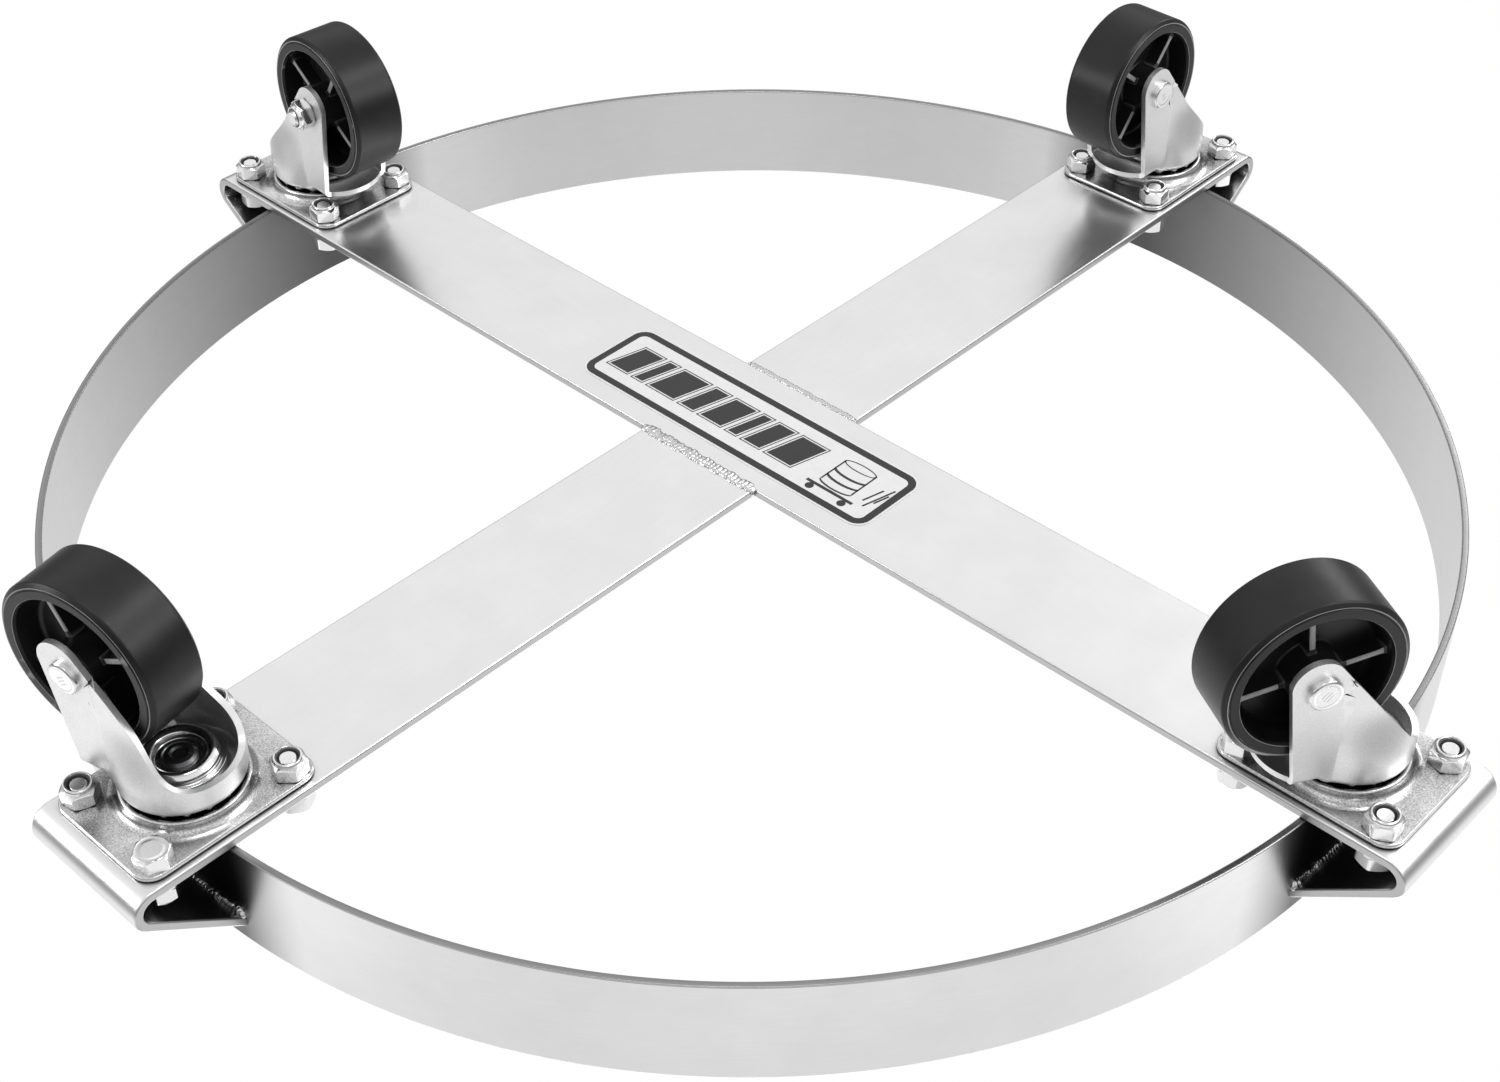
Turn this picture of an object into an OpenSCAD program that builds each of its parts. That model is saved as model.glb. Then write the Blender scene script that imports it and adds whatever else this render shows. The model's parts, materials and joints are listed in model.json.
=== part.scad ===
// Drum dolly: a rolled steel ring on two crossed flat bars, with four swivel
// casters bolted under the folded bar ends. Millimetres, +Z up, wheels on the
// floor at z = 0, origin on the floor under the middle of the ring.

/* [Ring] */
// Inside diameter of the ring that holds the drum
ring_id = 610; // [580:1:640]
// Thickness of the ring's steel strip
ring_t = 3; // [2:0.5:4]
// Height of the ring's steel strip
ring_h = 50; // [45:1:60]

/* [Crossed bars] */
// Width of the flat bars
bar_w = 65; // [62:1:75]
// Thickness of the flat bars
bar_t = 4; // [3.5:0.5:5]
// How far the fold at a bar's end reaches past the ring's outer face
fold_reach = 40; // [38:1:46]
// Outer radius of the fold
fold_r = 9; // [8:0.5:11]
// Angle that the bar's end is folded through, in degrees
fold_turn = 142; // [138:1:146]
// Gap between the bars at the middle, filled by a weld
weld_gap = 1.5; // [1:0.25:2]
// Width of the weld beads at the middle
weld_w = 5; // [4:0.5:6]

/* [Casters] */
// Height of the plate's mounting face above the floor
caster_h = 94; // [93:0.5:110]
// How far the wheel trails behind the king pin
trail = 27; // [25:0.5:29]
// Direction that the left caster trails in, in degrees
swivel_left = 5; // [0:1:359]
// Direction that the front caster trails in, in degrees
swivel_front = 91; // [0:1:359]
// Direction that the right caster trails in, in degrees
swivel_right = 120; // [0:1:359]
// Direction that the rear caster trails in, in degrees
swivel_rear = 168; // [0:1:359]

/* [Caster plate] */
// Length of the plate, along the bar
plate_l = 78; // [76:1:80]
// Width of the plate, across the bar
plate_w = 60; // [58:1:62]
// Thickness of the plate's steel
plate_t = 2.5; // [2:0.25:2.5]
// Bolt spacing along the bar
bolt_along = 60; // [58:0.5:61]
// Bolt spacing across the bar
bolt_across = 45; // [44:0.5:46]

/* [Wheel] */
// Diameter of the wheel
wheel_d = 71.5; // [68:0.5:73]
// Width of the wheel's tread
wheel_w = 27; // [24:0.5:29]
// Number of ribs on each side of the wheel's web
wheel_ribs = 4; // [3:1:6]

/* [Fasteners] */
// Thread diameter of the bolts and axles
bolt_d = 8; // [7.5:0.25:8]
// Width across the flats of the hex heads and nuts
hex_af = 13; // [12.5:0.1:13]

/* [Hidden] */
$fn = 96;
eps = 0.01;                          // overlap that keeps cuts clean

// Frame heights and lengths
bar_z = caster_h;                    // under face of the bars
seat_z = bar_z + bar_t;              // upper face of the bars, where the drum stands
ring_ri = ring_id / 2;
ring_ro = ring_ri + ring_t;
arm_end = ring_ro + fold_reach;      // outermost point of a folded end
caster_r = ring_ro - 7.5;            // king pins' distance from the middle
leg_stock = 60;                      // sloping leg before it is cut to the ring
fold_steps = 24;
half_start = bar_w / 2 + weld_gap;   // where a half bar starts
// Side view of a folded end, from the bar's under face round to its upper face, with
// y = 0 at the upper face
arm_side = concat(
    fold_arc(fold_r), [leg_point(fold_r), leg_point(fold_r - bar_t)],
    reverse(fold_arc(fold_r - bar_t))
);

// Label on the under face of the through bar
label_l = 171;
label_w = 43;
label_t = 0.3;
label_pos = [-2, 1];
label_r = 8;

// Caster frame: origin where the king pin's axis meets the bar's under face,
// z pointing away from the bar, x pointing the way the wheel trails
wheel_r = wheel_d / 2;
axle_z = caster_h - wheel_r;
boss_h = 3.5;                        // height that the plate's middle is raised
boss_r = 22.5;                       // radius of the raised middle's hollow
lip_r = 24.5;                        // outer radius of the raceway lip
lip_z = 7.5;
plate_top = boss_h + plate_t;        // raised face under the main balls
ball_r = 3;
ball_ring_r = 19;
ball_z = 8.4;
ball_n = 16;
groove_gap = 0.15;                   // play between a ball and its groove
race_z = 9;                          // lowest face of the yoke's raceway
yoke_z = 12;                         // face of the yoke's base towards the plate
yoke_t = 2.5;
yoke_top = yoke_z + yoke_t;
skirt_r = 24;                        // outer radius of the yoke round the king pin
leg_y = 18;                          // outer face of the legs
leg_x = 32;                          // front corner of the legs at the base
lip_x = 38;                          // front of the yoke's base under the wheel
ear_r = 10.2;                        // rounded ends of the legs
ear_pos = [trail + 2.5, axle_z + 3.6];
skirt_top = 20;
// Back edge of the legs from the ear down to the skirt, as offsets from the axle
leg_back = [[-5.4, 10], [-26.6, -16.9], [-34.5, -26.3], [-43, -36.6]];
small_ball_r = 2;
small_ring_r = 12;
small_ball_z = 16;
small_ball_n = 14;
cup_r = 15;
cup_flange_r = 17;
cup_z = 15.3;                        // face of the cup's flange on the yoke's side
cup_t = 1.2;
cup_crown_z = 20.2;
rivet_z = 17;                        // face of the cup that the pin is riveted on
pin_r = 5;
pin_head_r = 8;
pin_head_t = 2.5;
rivet_r = 6.8;
rivet_t = 2;
pin_play = 0.08;
wheel_play = 0.05;
sleeve_r = 6;
hub_r = 10.5;
hub_y = 15;                          // half length of the wheel's hub
web_t = 4;
rib_t = 2.2;
rim_r = 29;                          // inner radius of the wheel's rim at its mouth
head_h = 6.3;
washer_r = 7.2;
washer_t = 3.5;                      // collar under each head or nut on the drum's side
axle_head_r = 6.7;
axle_head_h = 2.4;
nut_h = 8;
hole_r = 4.5;                        // clearance holes for the bolts
free_tip = 7;                        // length of a bolt's tip inside its nut
tip_z = plate_t + free_tip;          // tips of the bolts, inside the nuts' collars
nut_play = 0.03;

// Directions of the arms, trail directions and rib directions, caster by caster
LEFT = 0;
FRONT = 1;
RIGHT = 2;
REAR = 3;
arm_dir = [180, 270, 0, 90];
swivel = [swivel_left, swivel_front, swivel_right, swivel_rear];
rib_dir = [33, 51, 9, 25];
// Bolt corners in the order [along, across]; one bolt of the right and of the rear
// caster is fitted head down
corners = [[-1, -1], [-1, 1], [1, 1], [1, -1]];
head_down = [[], [], [0], [2]];

// ---- shared shapes ----

// Flat shape with round corners, centred
module round_rect(l, w, r) {
    square([l - 2 * r, w], center = true);
    square([l, w - 2 * r], center = true);
    for (x = [-1, 1], y = [-1, 1])
        translate([x * (l / 2 - r), y * (w / 2 - r)])
            circle(r);
}

// Hexagonal prism with a chamfered end at the top
module hex_prism(h) {
    corner_r = hex_af / 2 / cos(30);
    intersection() {
        cylinder(h = h, r = corner_r, $fn = 6);
        union() {
            cylinder(h = h - 1 + eps, r = corner_r + 1);
            translate([0, 0, h - 1])
                cylinder(h = 1, r1 = corner_r, r2 = corner_r - 1.4);
        }
    }
}

// Ring-shaped groove that balls roll in
module ball_groove(r, z, ball) {
    rotate_extrude()
        translate([r, z])
            circle(ball + groove_gap, $fn = 48);
}

// Balls in a ring
module ball_ring(r, z, ball, n) {
    for (i = [0:n - 1])
        rotate([0, 0, i * 360 / n])
            translate([r, 0, z])
                sphere(ball, $fn = 32);
}

// Places the fixed parts of caster i
module at_caster(i) {
    rotate([0, 0, arm_dir[i]])
        translate([caster_r, 0, bar_z])
            rotate([180, 0, 0])
                children();
}

// Places the swivelling parts of caster i
module at_swivel(i) {
    rotate([0, 0, arm_dir[i]])
        translate([caster_r, 0, bar_z])
            rotate([0, 0, swivel[i] - arm_dir[i]])
                rotate([180, 0, 0])
                    children();
}

// Places the parts on the axle of caster i, with z along the axle
module at_axle(i) {
    at_swivel(i)
        translate([trail, 0, axle_z])
            rotate([-90, 0, 0])
                children();
}

function has(list, value) = len([for (v = list) if (v == value) v]) > 0;

// ---- frame ----

module ring() {
    color([0.80, 0.81, 0.82])
        translate([0, 0, seat_z])
            difference() {
                cylinder(h = ring_h, r = ring_ro, $fn = 180);
                translate([0, 0, -1])
                    cylinder(h = ring_h + 2, r = ring_ri, $fn = 180);
            }
}

// Points on the fold's arc of radius r, from its start under the bar's end to its end
function fold_arc(r) = [
    for (k = [0:fold_steps])
        let (a = fold_turn * k / fold_steps - 90)
            [arm_end - fold_r + r * cos(a), fold_r - bar_t + r * sin(a)]
];

// Points at distance r from the fold's centre line, leg_stock along the sloping leg
function leg_point(r) = let (a = fold_turn - 90) [
    arm_end - fold_r + r * cos(a) - leg_stock * sin(a),
    fold_r - bar_t + r * sin(a) + leg_stock * cos(a)
];

function reverse(list) = [for (k = [len(list) - 1:-1:0]) list[k]];

// A bar with the given side view, along X
module bar(side) {
    translate([0, bar_w / 2, seat_z])
        rotate([90, 0, 0])
            linear_extrude(bar_w)
                polygon(side);
}

// What is cut from a bar at the ring: the leg inside the ring, and the bolt holes
module arm_cuts(arms) {
    translate([0, 0, seat_z])
        cylinder(h = 2 * ring_h, r = ring_ro, $fn = 180);
    for (a = arms, c = corners)
        rotate([0, 0, a])
            translate([caster_r + c[0] * bolt_along / 2, c[1] * bolt_across / 2, bar_z - 1])
                cylinder(h = bar_t + 2, r = hole_r);
}

module through_bar() {
    color([0.84, 0.84, 0.85])
        difference() {
            bar(concat(arm_side, reverse([for (p = arm_side) [-p[0], p[1]]])));
            arm_cuts([0, 180]);
        }
}

module half_bar(i) {
    color([0.84, 0.84, 0.85])
        rotate([0, 0, arm_dir[i]])
            difference() {
                bar(concat([[half_start, -bar_t]], arm_side, [[half_start, 0]]));
                arm_cuts([0]);
            }
}

// Weld that fills the gap between the through bar and each half bar
module centre_welds() {
    color([0.62, 0.62, 0.63])
        for (s = [-1, 1])
            translate([-bar_w / 2, s * (bar_w + weld_gap) / 2, bar_z])
                rotate([90, 0, 90])
                    linear_extrude(bar_w) {
                        translate([-weld_gap / 2, 0])
                            square([weld_gap, bar_t]);
                        intersection() {
                            scale([1, 0.55])
                                circle(weld_w / 2, $fn = 48);
                            translate([-weld_w, -weld_w])
                                square([2 * weld_w, weld_w]);
                        }
                    }
}

// Fillet welds along the ring's outer face, on top of each arm
module ring_welds() {
    leg = 3;
    sweep = 5;
    color([0.6, 0.6, 0.61])
        for (a = arm_dir)
            rotate([0, 0, a - sweep])
                translate([0, 0, seat_z])
                    rotate_extrude(angle = 2 * sweep, $fn = 180)
                        translate([ring_ro, 0])
                            polygon([[0, 0], [leg, 0], [0, leg]]);
}

// Fillet welds along the inner corner between each sloping leg and the ring
module gusset_welds() {
    slope = fold_turn - 90;
    leg_tip_z = seat_z + 33.5;
    color([0.6, 0.6, 0.61])
        for (a = arm_dir)
            rotate([0, 0, a])
                difference() {
                    translate([ring_ro + 1, 0, leg_tip_z])
                        rotate([90, 0, 0])
                            cylinder(h = bar_w - 4, r = 3, center = true, $fn = 32);
                    translate([0, 0, seat_z])
                        cylinder(h = 2 * ring_h, r = ring_ro, $fn = 180);
                    translate([arm_end - fold_r, 0, seat_z + fold_r - bar_t])
                        rotate([0, -slope, 0])
                            translate([fold_r - bar_t, -bar_w, -10])
                                cube([bar_t, 2 * bar_w, 80]);
                }
}

module label() {
    color([0.88, 0.88, 0.88])
        translate([label_pos[0], label_pos[1], bar_z - label_t])
            linear_extrude(label_t)
                round_rect(label_l, label_w, label_r);
}

// ---- fixed parts of a caster ----

// Pressed top plate: raised raceway in the middle, four bolt holes
module plate(i) {
    color([0.75, 0.76, 0.78])
        at_caster(i)
            difference() {
                union() {
                    difference() {
                        linear_extrude(plate_t)
                            round_rect(plate_l, plate_w, 8);
                        translate([0, 0, -1])
                            cylinder(h = plate_t + 2, r = boss_r + 3);
                    }
                    rotate_extrude()
                        polygon([
                            [boss_r + 3.5, 0], [boss_r + 4.5, plate_t], [lip_r, plate_top - 1],
                            [lip_r, lip_z], [lip_r - 2, lip_z], [lip_r - 2, plate_top],
                            [pin_r, plate_top], [pin_r, boss_h], [boss_r - 1, boss_h],
                            [boss_r + 2, 0]
                        ]);
                }
                ball_groove(ball_ring_r, ball_z, ball_r);
                for (c = corners)
                    translate([c[0] * bolt_along / 2, c[1] * bolt_across / 2, -1])
                        cylinder(h = plate_t + 2, r = hole_r);
            }
}

// King pin: flat head inside the raised plate, shank, riveted end in the cup
module king_pin(i) {
    color([0.45, 0.45, 0.46])
        at_caster(i)
            rotate_extrude()
                polygon([
                    [0, boss_h - pin_head_t], [pin_head_r, boss_h - pin_head_t],
                    [pin_head_r, boss_h], [pin_r, boss_h], [pin_r, rivet_z], [rivet_r, rivet_z],
                    [rivet_r, rivet_z + rivet_t / 2], [rivet_r - 1.4, rivet_z + rivet_t],
                    [0, rivet_z + rivet_t]
                ]);
}

// Cup that holds the inner balls against the yoke, riveted to the king pin
module race_cup(i) {
    inner_r = small_ring_r - small_ball_r + 0.2;
    outer_r = cup_r - cup_t;
    color([0.78, 0.78, 0.80])
        at_caster(i)
            difference() {
                rotate_extrude()
                    polygon([
                        [pin_r, cup_z], [inner_r, cup_z], [inner_r, cup_crown_z - 2.2],
                        [inner_r + 0.8, cup_crown_z - 1.4], [outer_r - 0.8, cup_crown_z - 1.4],
                        [outer_r, cup_crown_z - 2.2], [outer_r, cup_z], [cup_flange_r, cup_z],
                        [cup_flange_r, cup_z + cup_t], [cup_r, cup_z + cup_t],
                        [cup_r, cup_crown_z - 2.2], [cup_r - 1.6, cup_crown_z],
                        [inner_r + 0.6, cup_crown_z], [inner_r - 1, cup_crown_z - 1.6],
                        [inner_r - 1.5, rivet_z], [pin_r, rivet_z]
                    ]);
                ball_groove(small_ring_r, small_ball_z, small_ball_r);
            }
}

// Bolt through bar and plate, its head under the plate or on the drum's side
module plate_bolt(i, k) {
    if (has(head_down[i], k)) {
        grip = washer_t + bar_t + plate_t;
        translate([0, 0, plate_t])
            hex_prism(head_h);
        translate([0, 0, plate_t - grip - free_tip])
            cylinder(h = grip + free_tip, r = bolt_d / 2);
    } else {
        translate([0, 0, -bar_t - washer_t])
            cylinder(h = washer_t, r = washer_r);
        translate([0, 0, -bar_t - washer_t])
            rotate([180, 0, 0])
                hex_prism(head_h);
        translate([0, 0, -bar_t])
            cylinder(h = bar_t + tip_z, r = bolt_d / 2);
    }
}

module plate_bolts(i) {
    color([0.72, 0.73, 0.75])
        at_caster(i)
            for (k = [0:3])
                translate([
                    corners[k][0] * bolt_along / 2, corners[k][1] * bolt_across / 2, 0
                ])
                    plate_bolt(i, k);
}

// Lock nut: hexagon with a round collar, on a foot of the given thickness
module lock_nut(foot = 0) {
    difference() {
        union() {
            if (foot > 0)
                cylinder(h = foot, r = washer_r);
            translate([0, 0, foot]) {
                hex_prism(nut_h - 1.8);
                cylinder(h = nut_h, r = hex_af / 2 - 0.7);
            }
        }
        translate([0, 0, -1])
            cylinder(h = foot + nut_h + 2, r = bolt_d / 2 + nut_play);
    }
}

module plate_nuts(i) {
    color([0.74, 0.75, 0.77])
        at_caster(i)
            for (k = [0:3])
                translate([
                    corners[k][0] * bolt_along / 2, corners[k][1] * bolt_across / 2, 0
                ])
                    if (has(head_down[i], k))
                        translate([0, 0, -bar_t])
                            rotate([180, 0, 0])
                                lock_nut(washer_t);
                    else
                        translate([0, 0, plate_t])
                            lock_nut();
}

// ---- swivelling parts of a caster ----

module main_balls(i) {
    color([0.35, 0.35, 0.36])
        at_swivel(i)
            ball_ring(ball_ring_r, ball_z, ball_r, ball_n);
}

module inner_balls(i) {
    color([0.35, 0.35, 0.36])
        at_swivel(i)
            ball_ring(small_ring_r, small_ball_z, small_ball_r, small_ball_n);
}

// Outline of the yoke seen along the king pin, shrunk by inset
module yoke_outline(inset) {
    circle(skirt_r - inset);
    translate([0, inset - leg_y])
        square([leg_x, 2 * (leg_y - inset)]);
}

// Side view of the walls: legs up to the axle, low skirt round the king pin
module wall_side() {
    polygon(concat(
        [[-skirt_r - 1, yoke_z], [leg_x, yoke_z], [ear_pos[0] + ear_r, ear_pos[1]], ear_pos],
        [for (p = leg_back) [trail + p[0], axle_z + p[1]]],
        [[-skirt_r - 1, skirt_top]]
    ));
    translate(ear_pos)
        circle(ear_r);
}

module yoke(i) {
    lip_front_r = 26;
    color([0.77, 0.78, 0.80])
        at_swivel(i)
            difference() {
                union() {
                    translate([0, 0, yoke_z])
                        linear_extrude(yoke_t) {
                            yoke_outline(0);
                            intersection() {
                                translate([lip_x - lip_front_r, 0])
                                    circle(lip_front_r);
                                translate([leg_x - 1, -leg_y])
                                    square([2 * lip_x, 2 * leg_y]);
                            }
                        }
                    rotate_extrude()
                        polygon([
                            [15, yoke_z + eps], [15, race_z + 1], [16, race_z],
                            [skirt_r, race_z], [skirt_r, yoke_z + eps]
                        ]);
                    intersection() {
                        translate([0, 0, yoke_z])
                            linear_extrude(axle_z)
                                difference() {
                                    yoke_outline(0);
                                    yoke_outline(yoke_t);
                                    translate([leg_x - 1, yoke_t - leg_y])
                                        square([5, 2 * (leg_y - yoke_t)]);
                                }
                        translate([0, skirt_r + 1, 0])
                            rotate([90, 0, 0])
                                linear_extrude(2 * skirt_r + 2)
                                    wall_side();
                    }
                    for (s = [-1, 1])
                        translate([0, s * (leg_y - yoke_t / 2) + yoke_t / 2, 0])
                            rotate([90, 0, 0])
                                linear_extrude(yoke_t)
                                    intersection() {
                                        wall_side();
                                        translate([leg_x - 1, yoke_z])
                                            square([30, 2 * axle_z]);
                                    }
                }
                ball_groove(ball_ring_r, ball_z, ball_r);
                ball_groove(small_ring_r, small_ball_z, small_ball_r);
                cylinder(h = 2 * yoke_top, r = pin_r + pin_play);
                translate([trail, 0, axle_z])
                    rotate([90, 0, 0])
                        cylinder(h = 3 * leg_y, r = bolt_d / 2 + nut_play, center = true);
            }
}

module axle_sleeve(i) {
    color([0.6, 0.6, 0.62])
        at_axle(i)
            difference() {
                cylinder(h = 2 * (leg_y - yoke_t), r = sleeve_r, center = true);
                cylinder(h = 3 * leg_y, r = bolt_d / 2 + nut_play, center = true);
            }
}

// Axle bolt with a low round head
module axle_bolt(i) {
    tip = nut_h + 1;
    color([0.74, 0.75, 0.77])
        at_axle(i) {
            translate([0, 0, -leg_y - tip])
                cylinder(h = 2 * leg_y + tip, r = bolt_d / 2);
            translate([0, 0, leg_y])
                cylinder(h = axle_head_h - 0.6, r = axle_head_r);
            translate([0, 0, leg_y + axle_head_h - 0.6])
                cylinder(h = 0.6, r1 = axle_head_r, r2 = axle_head_r - 0.9);
        }
}

module axle_nut(i) {
    color([0.74, 0.75, 0.77])
        at_axle(i)
            translate([0, 0, -leg_y])
                rotate([180, 0, 0])
                    lock_nut();
}

// One-piece moulded wheel: tread, rim, web with ribs on both sides, hub
module wheel(i) {
    half = wheel_w / 2;
    color([0.09, 0.09, 0.10])
        at_axle(i)
            rotate([0, 0, rib_dir[i]])
                difference() {
                    union() {
                        rotate_extrude($fn = 128)
                            polygon([
                                [sleeve_r, -hub_y], [hub_r, -hub_y], [hub_r + 1, -web_t / 2],
                                [rim_r - 1.5, -web_t / 2], [rim_r, 2 - half],
                                [rim_r + 0.6, -half], [wheel_r - 2, -half],
                                [wheel_r, 2.5 - half], [wheel_r, half - 2.5],
                                [wheel_r - 2, half], [rim_r + 0.6, half], [rim_r, half - 2],
                                [rim_r - 1.5, web_t / 2], [hub_r + 1, web_t / 2],
                                [hub_r, hub_y], [sleeve_r, hub_y]
                            ]);
                        for (k = [0:wheel_ribs - 1])
                            rotate([0, 0, k * 360 / wheel_ribs])
                                translate([hub_r - 1, -rib_t / 2, 5 - half])
                                    cube([rim_r - hub_r + 1, rib_t, wheel_w - 10]);
                    }
                    cylinder(h = 4 * hub_y, r = sleeve_r + wheel_play, center = true);
                }
}

// ---- drawing ----

ring();
through_bar();
half_bar(FRONT);  // half_bar_front
half_bar(REAR);  // half_bar_rear
centre_welds();
ring_welds();
gusset_welds();
label();

plate(LEFT);  // plate_left
main_balls(LEFT);  // main_balls_left
yoke(LEFT);  // yoke_left
inner_balls(LEFT);  // inner_balls_left
race_cup(LEFT);  // race_cup_left
king_pin(LEFT);  // king_pin_left
wheel(LEFT);  // wheel_left
axle_sleeve(LEFT);  // axle_sleeve_left
axle_bolt(LEFT);  // axle_bolt_left
axle_nut(LEFT);  // axle_nut_left
plate_bolts(LEFT);  // plate_bolts_left
plate_nuts(LEFT);  // plate_nuts_left

plate(FRONT);  // plate_front
main_balls(FRONT);  // main_balls_front
yoke(FRONT);  // yoke_front
inner_balls(FRONT);  // inner_balls_front
race_cup(FRONT);  // race_cup_front
king_pin(FRONT);  // king_pin_front
wheel(FRONT);  // wheel_front
axle_sleeve(FRONT);  // axle_sleeve_front
axle_bolt(FRONT);  // axle_bolt_front
axle_nut(FRONT);  // axle_nut_front
plate_bolts(FRONT);  // plate_bolts_front
plate_nuts(FRONT);  // plate_nuts_front

plate(RIGHT);  // plate_right
main_balls(RIGHT);  // main_balls_right
yoke(RIGHT);  // yoke_right
inner_balls(RIGHT);  // inner_balls_right
race_cup(RIGHT);  // race_cup_right
king_pin(RIGHT);  // king_pin_right
wheel(RIGHT);  // wheel_right
axle_sleeve(RIGHT);  // axle_sleeve_right
axle_bolt(RIGHT);  // axle_bolt_right
axle_nut(RIGHT);  // axle_nut_right
plate_bolts(RIGHT);  // plate_bolts_right
plate_nuts(RIGHT);  // plate_nuts_right

plate(REAR);  // plate_rear
main_balls(REAR);  // main_balls_rear
yoke(REAR);  // yoke_rear
inner_balls(REAR);  // inner_balls_rear
race_cup(REAR);  // race_cup_rear
king_pin(REAR);  // king_pin_rear
wheel(REAR);  // wheel_rear
axle_sleeve(REAR);  // axle_sleeve_rear
axle_bolt(REAR);  // axle_bolt_rear
axle_nut(REAR);  // axle_nut_rear
plate_bolts(REAR);  // plate_bolts_rear
plate_nuts(REAR);  // plate_nuts_rear
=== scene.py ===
"""Drum dolly: detailed meshes, materials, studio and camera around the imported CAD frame."""
import json
import math
import random

import bmesh
import bpy
from mathutils import Matrix, Vector


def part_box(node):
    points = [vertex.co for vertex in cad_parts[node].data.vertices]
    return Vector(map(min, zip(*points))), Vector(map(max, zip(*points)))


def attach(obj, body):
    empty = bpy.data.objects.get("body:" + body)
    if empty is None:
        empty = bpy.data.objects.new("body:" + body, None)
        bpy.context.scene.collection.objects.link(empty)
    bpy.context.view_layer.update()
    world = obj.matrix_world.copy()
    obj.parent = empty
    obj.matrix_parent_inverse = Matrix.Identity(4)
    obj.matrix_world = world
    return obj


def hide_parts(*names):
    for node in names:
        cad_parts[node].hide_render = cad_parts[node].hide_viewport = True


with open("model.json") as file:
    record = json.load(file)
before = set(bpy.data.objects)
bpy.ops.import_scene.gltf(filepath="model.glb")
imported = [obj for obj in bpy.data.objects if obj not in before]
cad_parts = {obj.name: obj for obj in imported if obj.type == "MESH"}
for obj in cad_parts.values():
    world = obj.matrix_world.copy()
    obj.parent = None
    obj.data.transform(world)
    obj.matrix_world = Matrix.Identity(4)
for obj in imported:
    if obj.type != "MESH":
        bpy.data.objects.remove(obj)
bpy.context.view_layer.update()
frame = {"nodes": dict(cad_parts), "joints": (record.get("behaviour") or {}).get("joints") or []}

MM = 0.001
UP = Vector((0, 0, 1))
IDENTITY = Matrix.Identity(4)
FLIP = Matrix.Rotation(math.pi, 4, "X")

# ---- places and sizes that come from the frame, in millimetres ----

JOINTS = {j["name"]: j for j in frame["joints"]}
ARM_TURN = {"left": 180, "front": 270, "right": 0, "rear": 90}
RING_LOW, RING_HIGH = (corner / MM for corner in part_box("ring"))
BAR_LOW, BAR_HIGH = (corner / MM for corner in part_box("through_bar"))
RING_RO = RING_HIGH.x
RING_T = 3
RING_RI = RING_RO - RING_T
SEAT_Z = RING_LOW.z
BAR_Z = BAR_LOW.z
BAR_T = SEAT_Z - BAR_Z
BAR_W = BAR_HIGH.y - BAR_LOW.y
ARM_END = BAR_HIGH.x

# ---- sizes of the fold, the caster and its fasteners, as in the CAD source ----

FOLD_R = 9
FOLD_TURN = 142
WELD_GAP = 1.5
BOLT_ALONG = 60
BOLT_ACROSS = 45
CORNERS = ((-1, -1), (-1, 1), (1, 1), (1, -1))
HEAD_DOWN = {"right": (0,), "rear": (2,)}  # bolts with their nut on the drum's side
RIB_TURN = {"left": 33, "front": 51, "right": 9, "rear": 25}  # degrees that each wheel has turned
PLATE_L, PLATE_W, PLATE_T, PLATE_CORNER = 78, 60, 2.5, 8
BOLT_R = 4
HEX_AF = 13
HEAD_H = 6.3
COLLAR_R, COLLAR_T = 7.2, 3.5
NUT_H = 8
THREAD_PITCH = 1.25
LEG_Y = 18
WHEEL_R = 35.75
WHEEL_HALF = 13.5
HUB_HALF = 15
AXLE_HEAD_R = 6.7
AXLE_HEAD_H = 2.4


# ---- small helpers ----

def smooth(low, high, x):
    t = min(1.0, max(0.0, (x - low) / (high - low)))
    return t * t * (3 - 2 * t)


def mix(a, b, t):
    return a + (b - a) * t


def polar(radius, degrees):
    return radius * math.cos(math.radians(degrees)), radius * math.sin(math.radians(degrees))


def turned(degrees):
    return Matrix.Rotation(math.radians(degrees), 4, "Z")


def lifted(height):
    return Matrix.Translation((0, 0, height))


def new_object(name, data):
    obj = bpy.data.objects.new(name, data)
    bpy.context.scene.collection.objects.link(obj)
    return obj


def fillet(corners, steps):
    """Open profile through (x, y, radius) corners, with an arc of steps pieces at each rounded one."""
    points = []
    for k, (x, y, radius) in enumerate(corners):
        here = Vector((x, y))
        if radius == 0 or k in (0, len(corners) - 1):
            points.append((x, y))
            continue
        before = (Vector(corners[k - 1][:2]) - here).normalized()
        after = (Vector(corners[k + 1][:2]) - here).normalized()
        half = before.angle(after) / 2
        reach = radius / math.tan(half)
        centre = here + (before + after).normalized() * (radius / math.sin(half))
        start = here + before * reach - centre
        end = here + after * reach - centre
        turn = start.angle_signed(end)
        for i in range(steps + 1):
            spoke = start.copy()
            spoke.rotate(Matrix.Rotation(-turn * i / steps, 2))
            points.append(tuple(centre + spoke))
    return points


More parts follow.
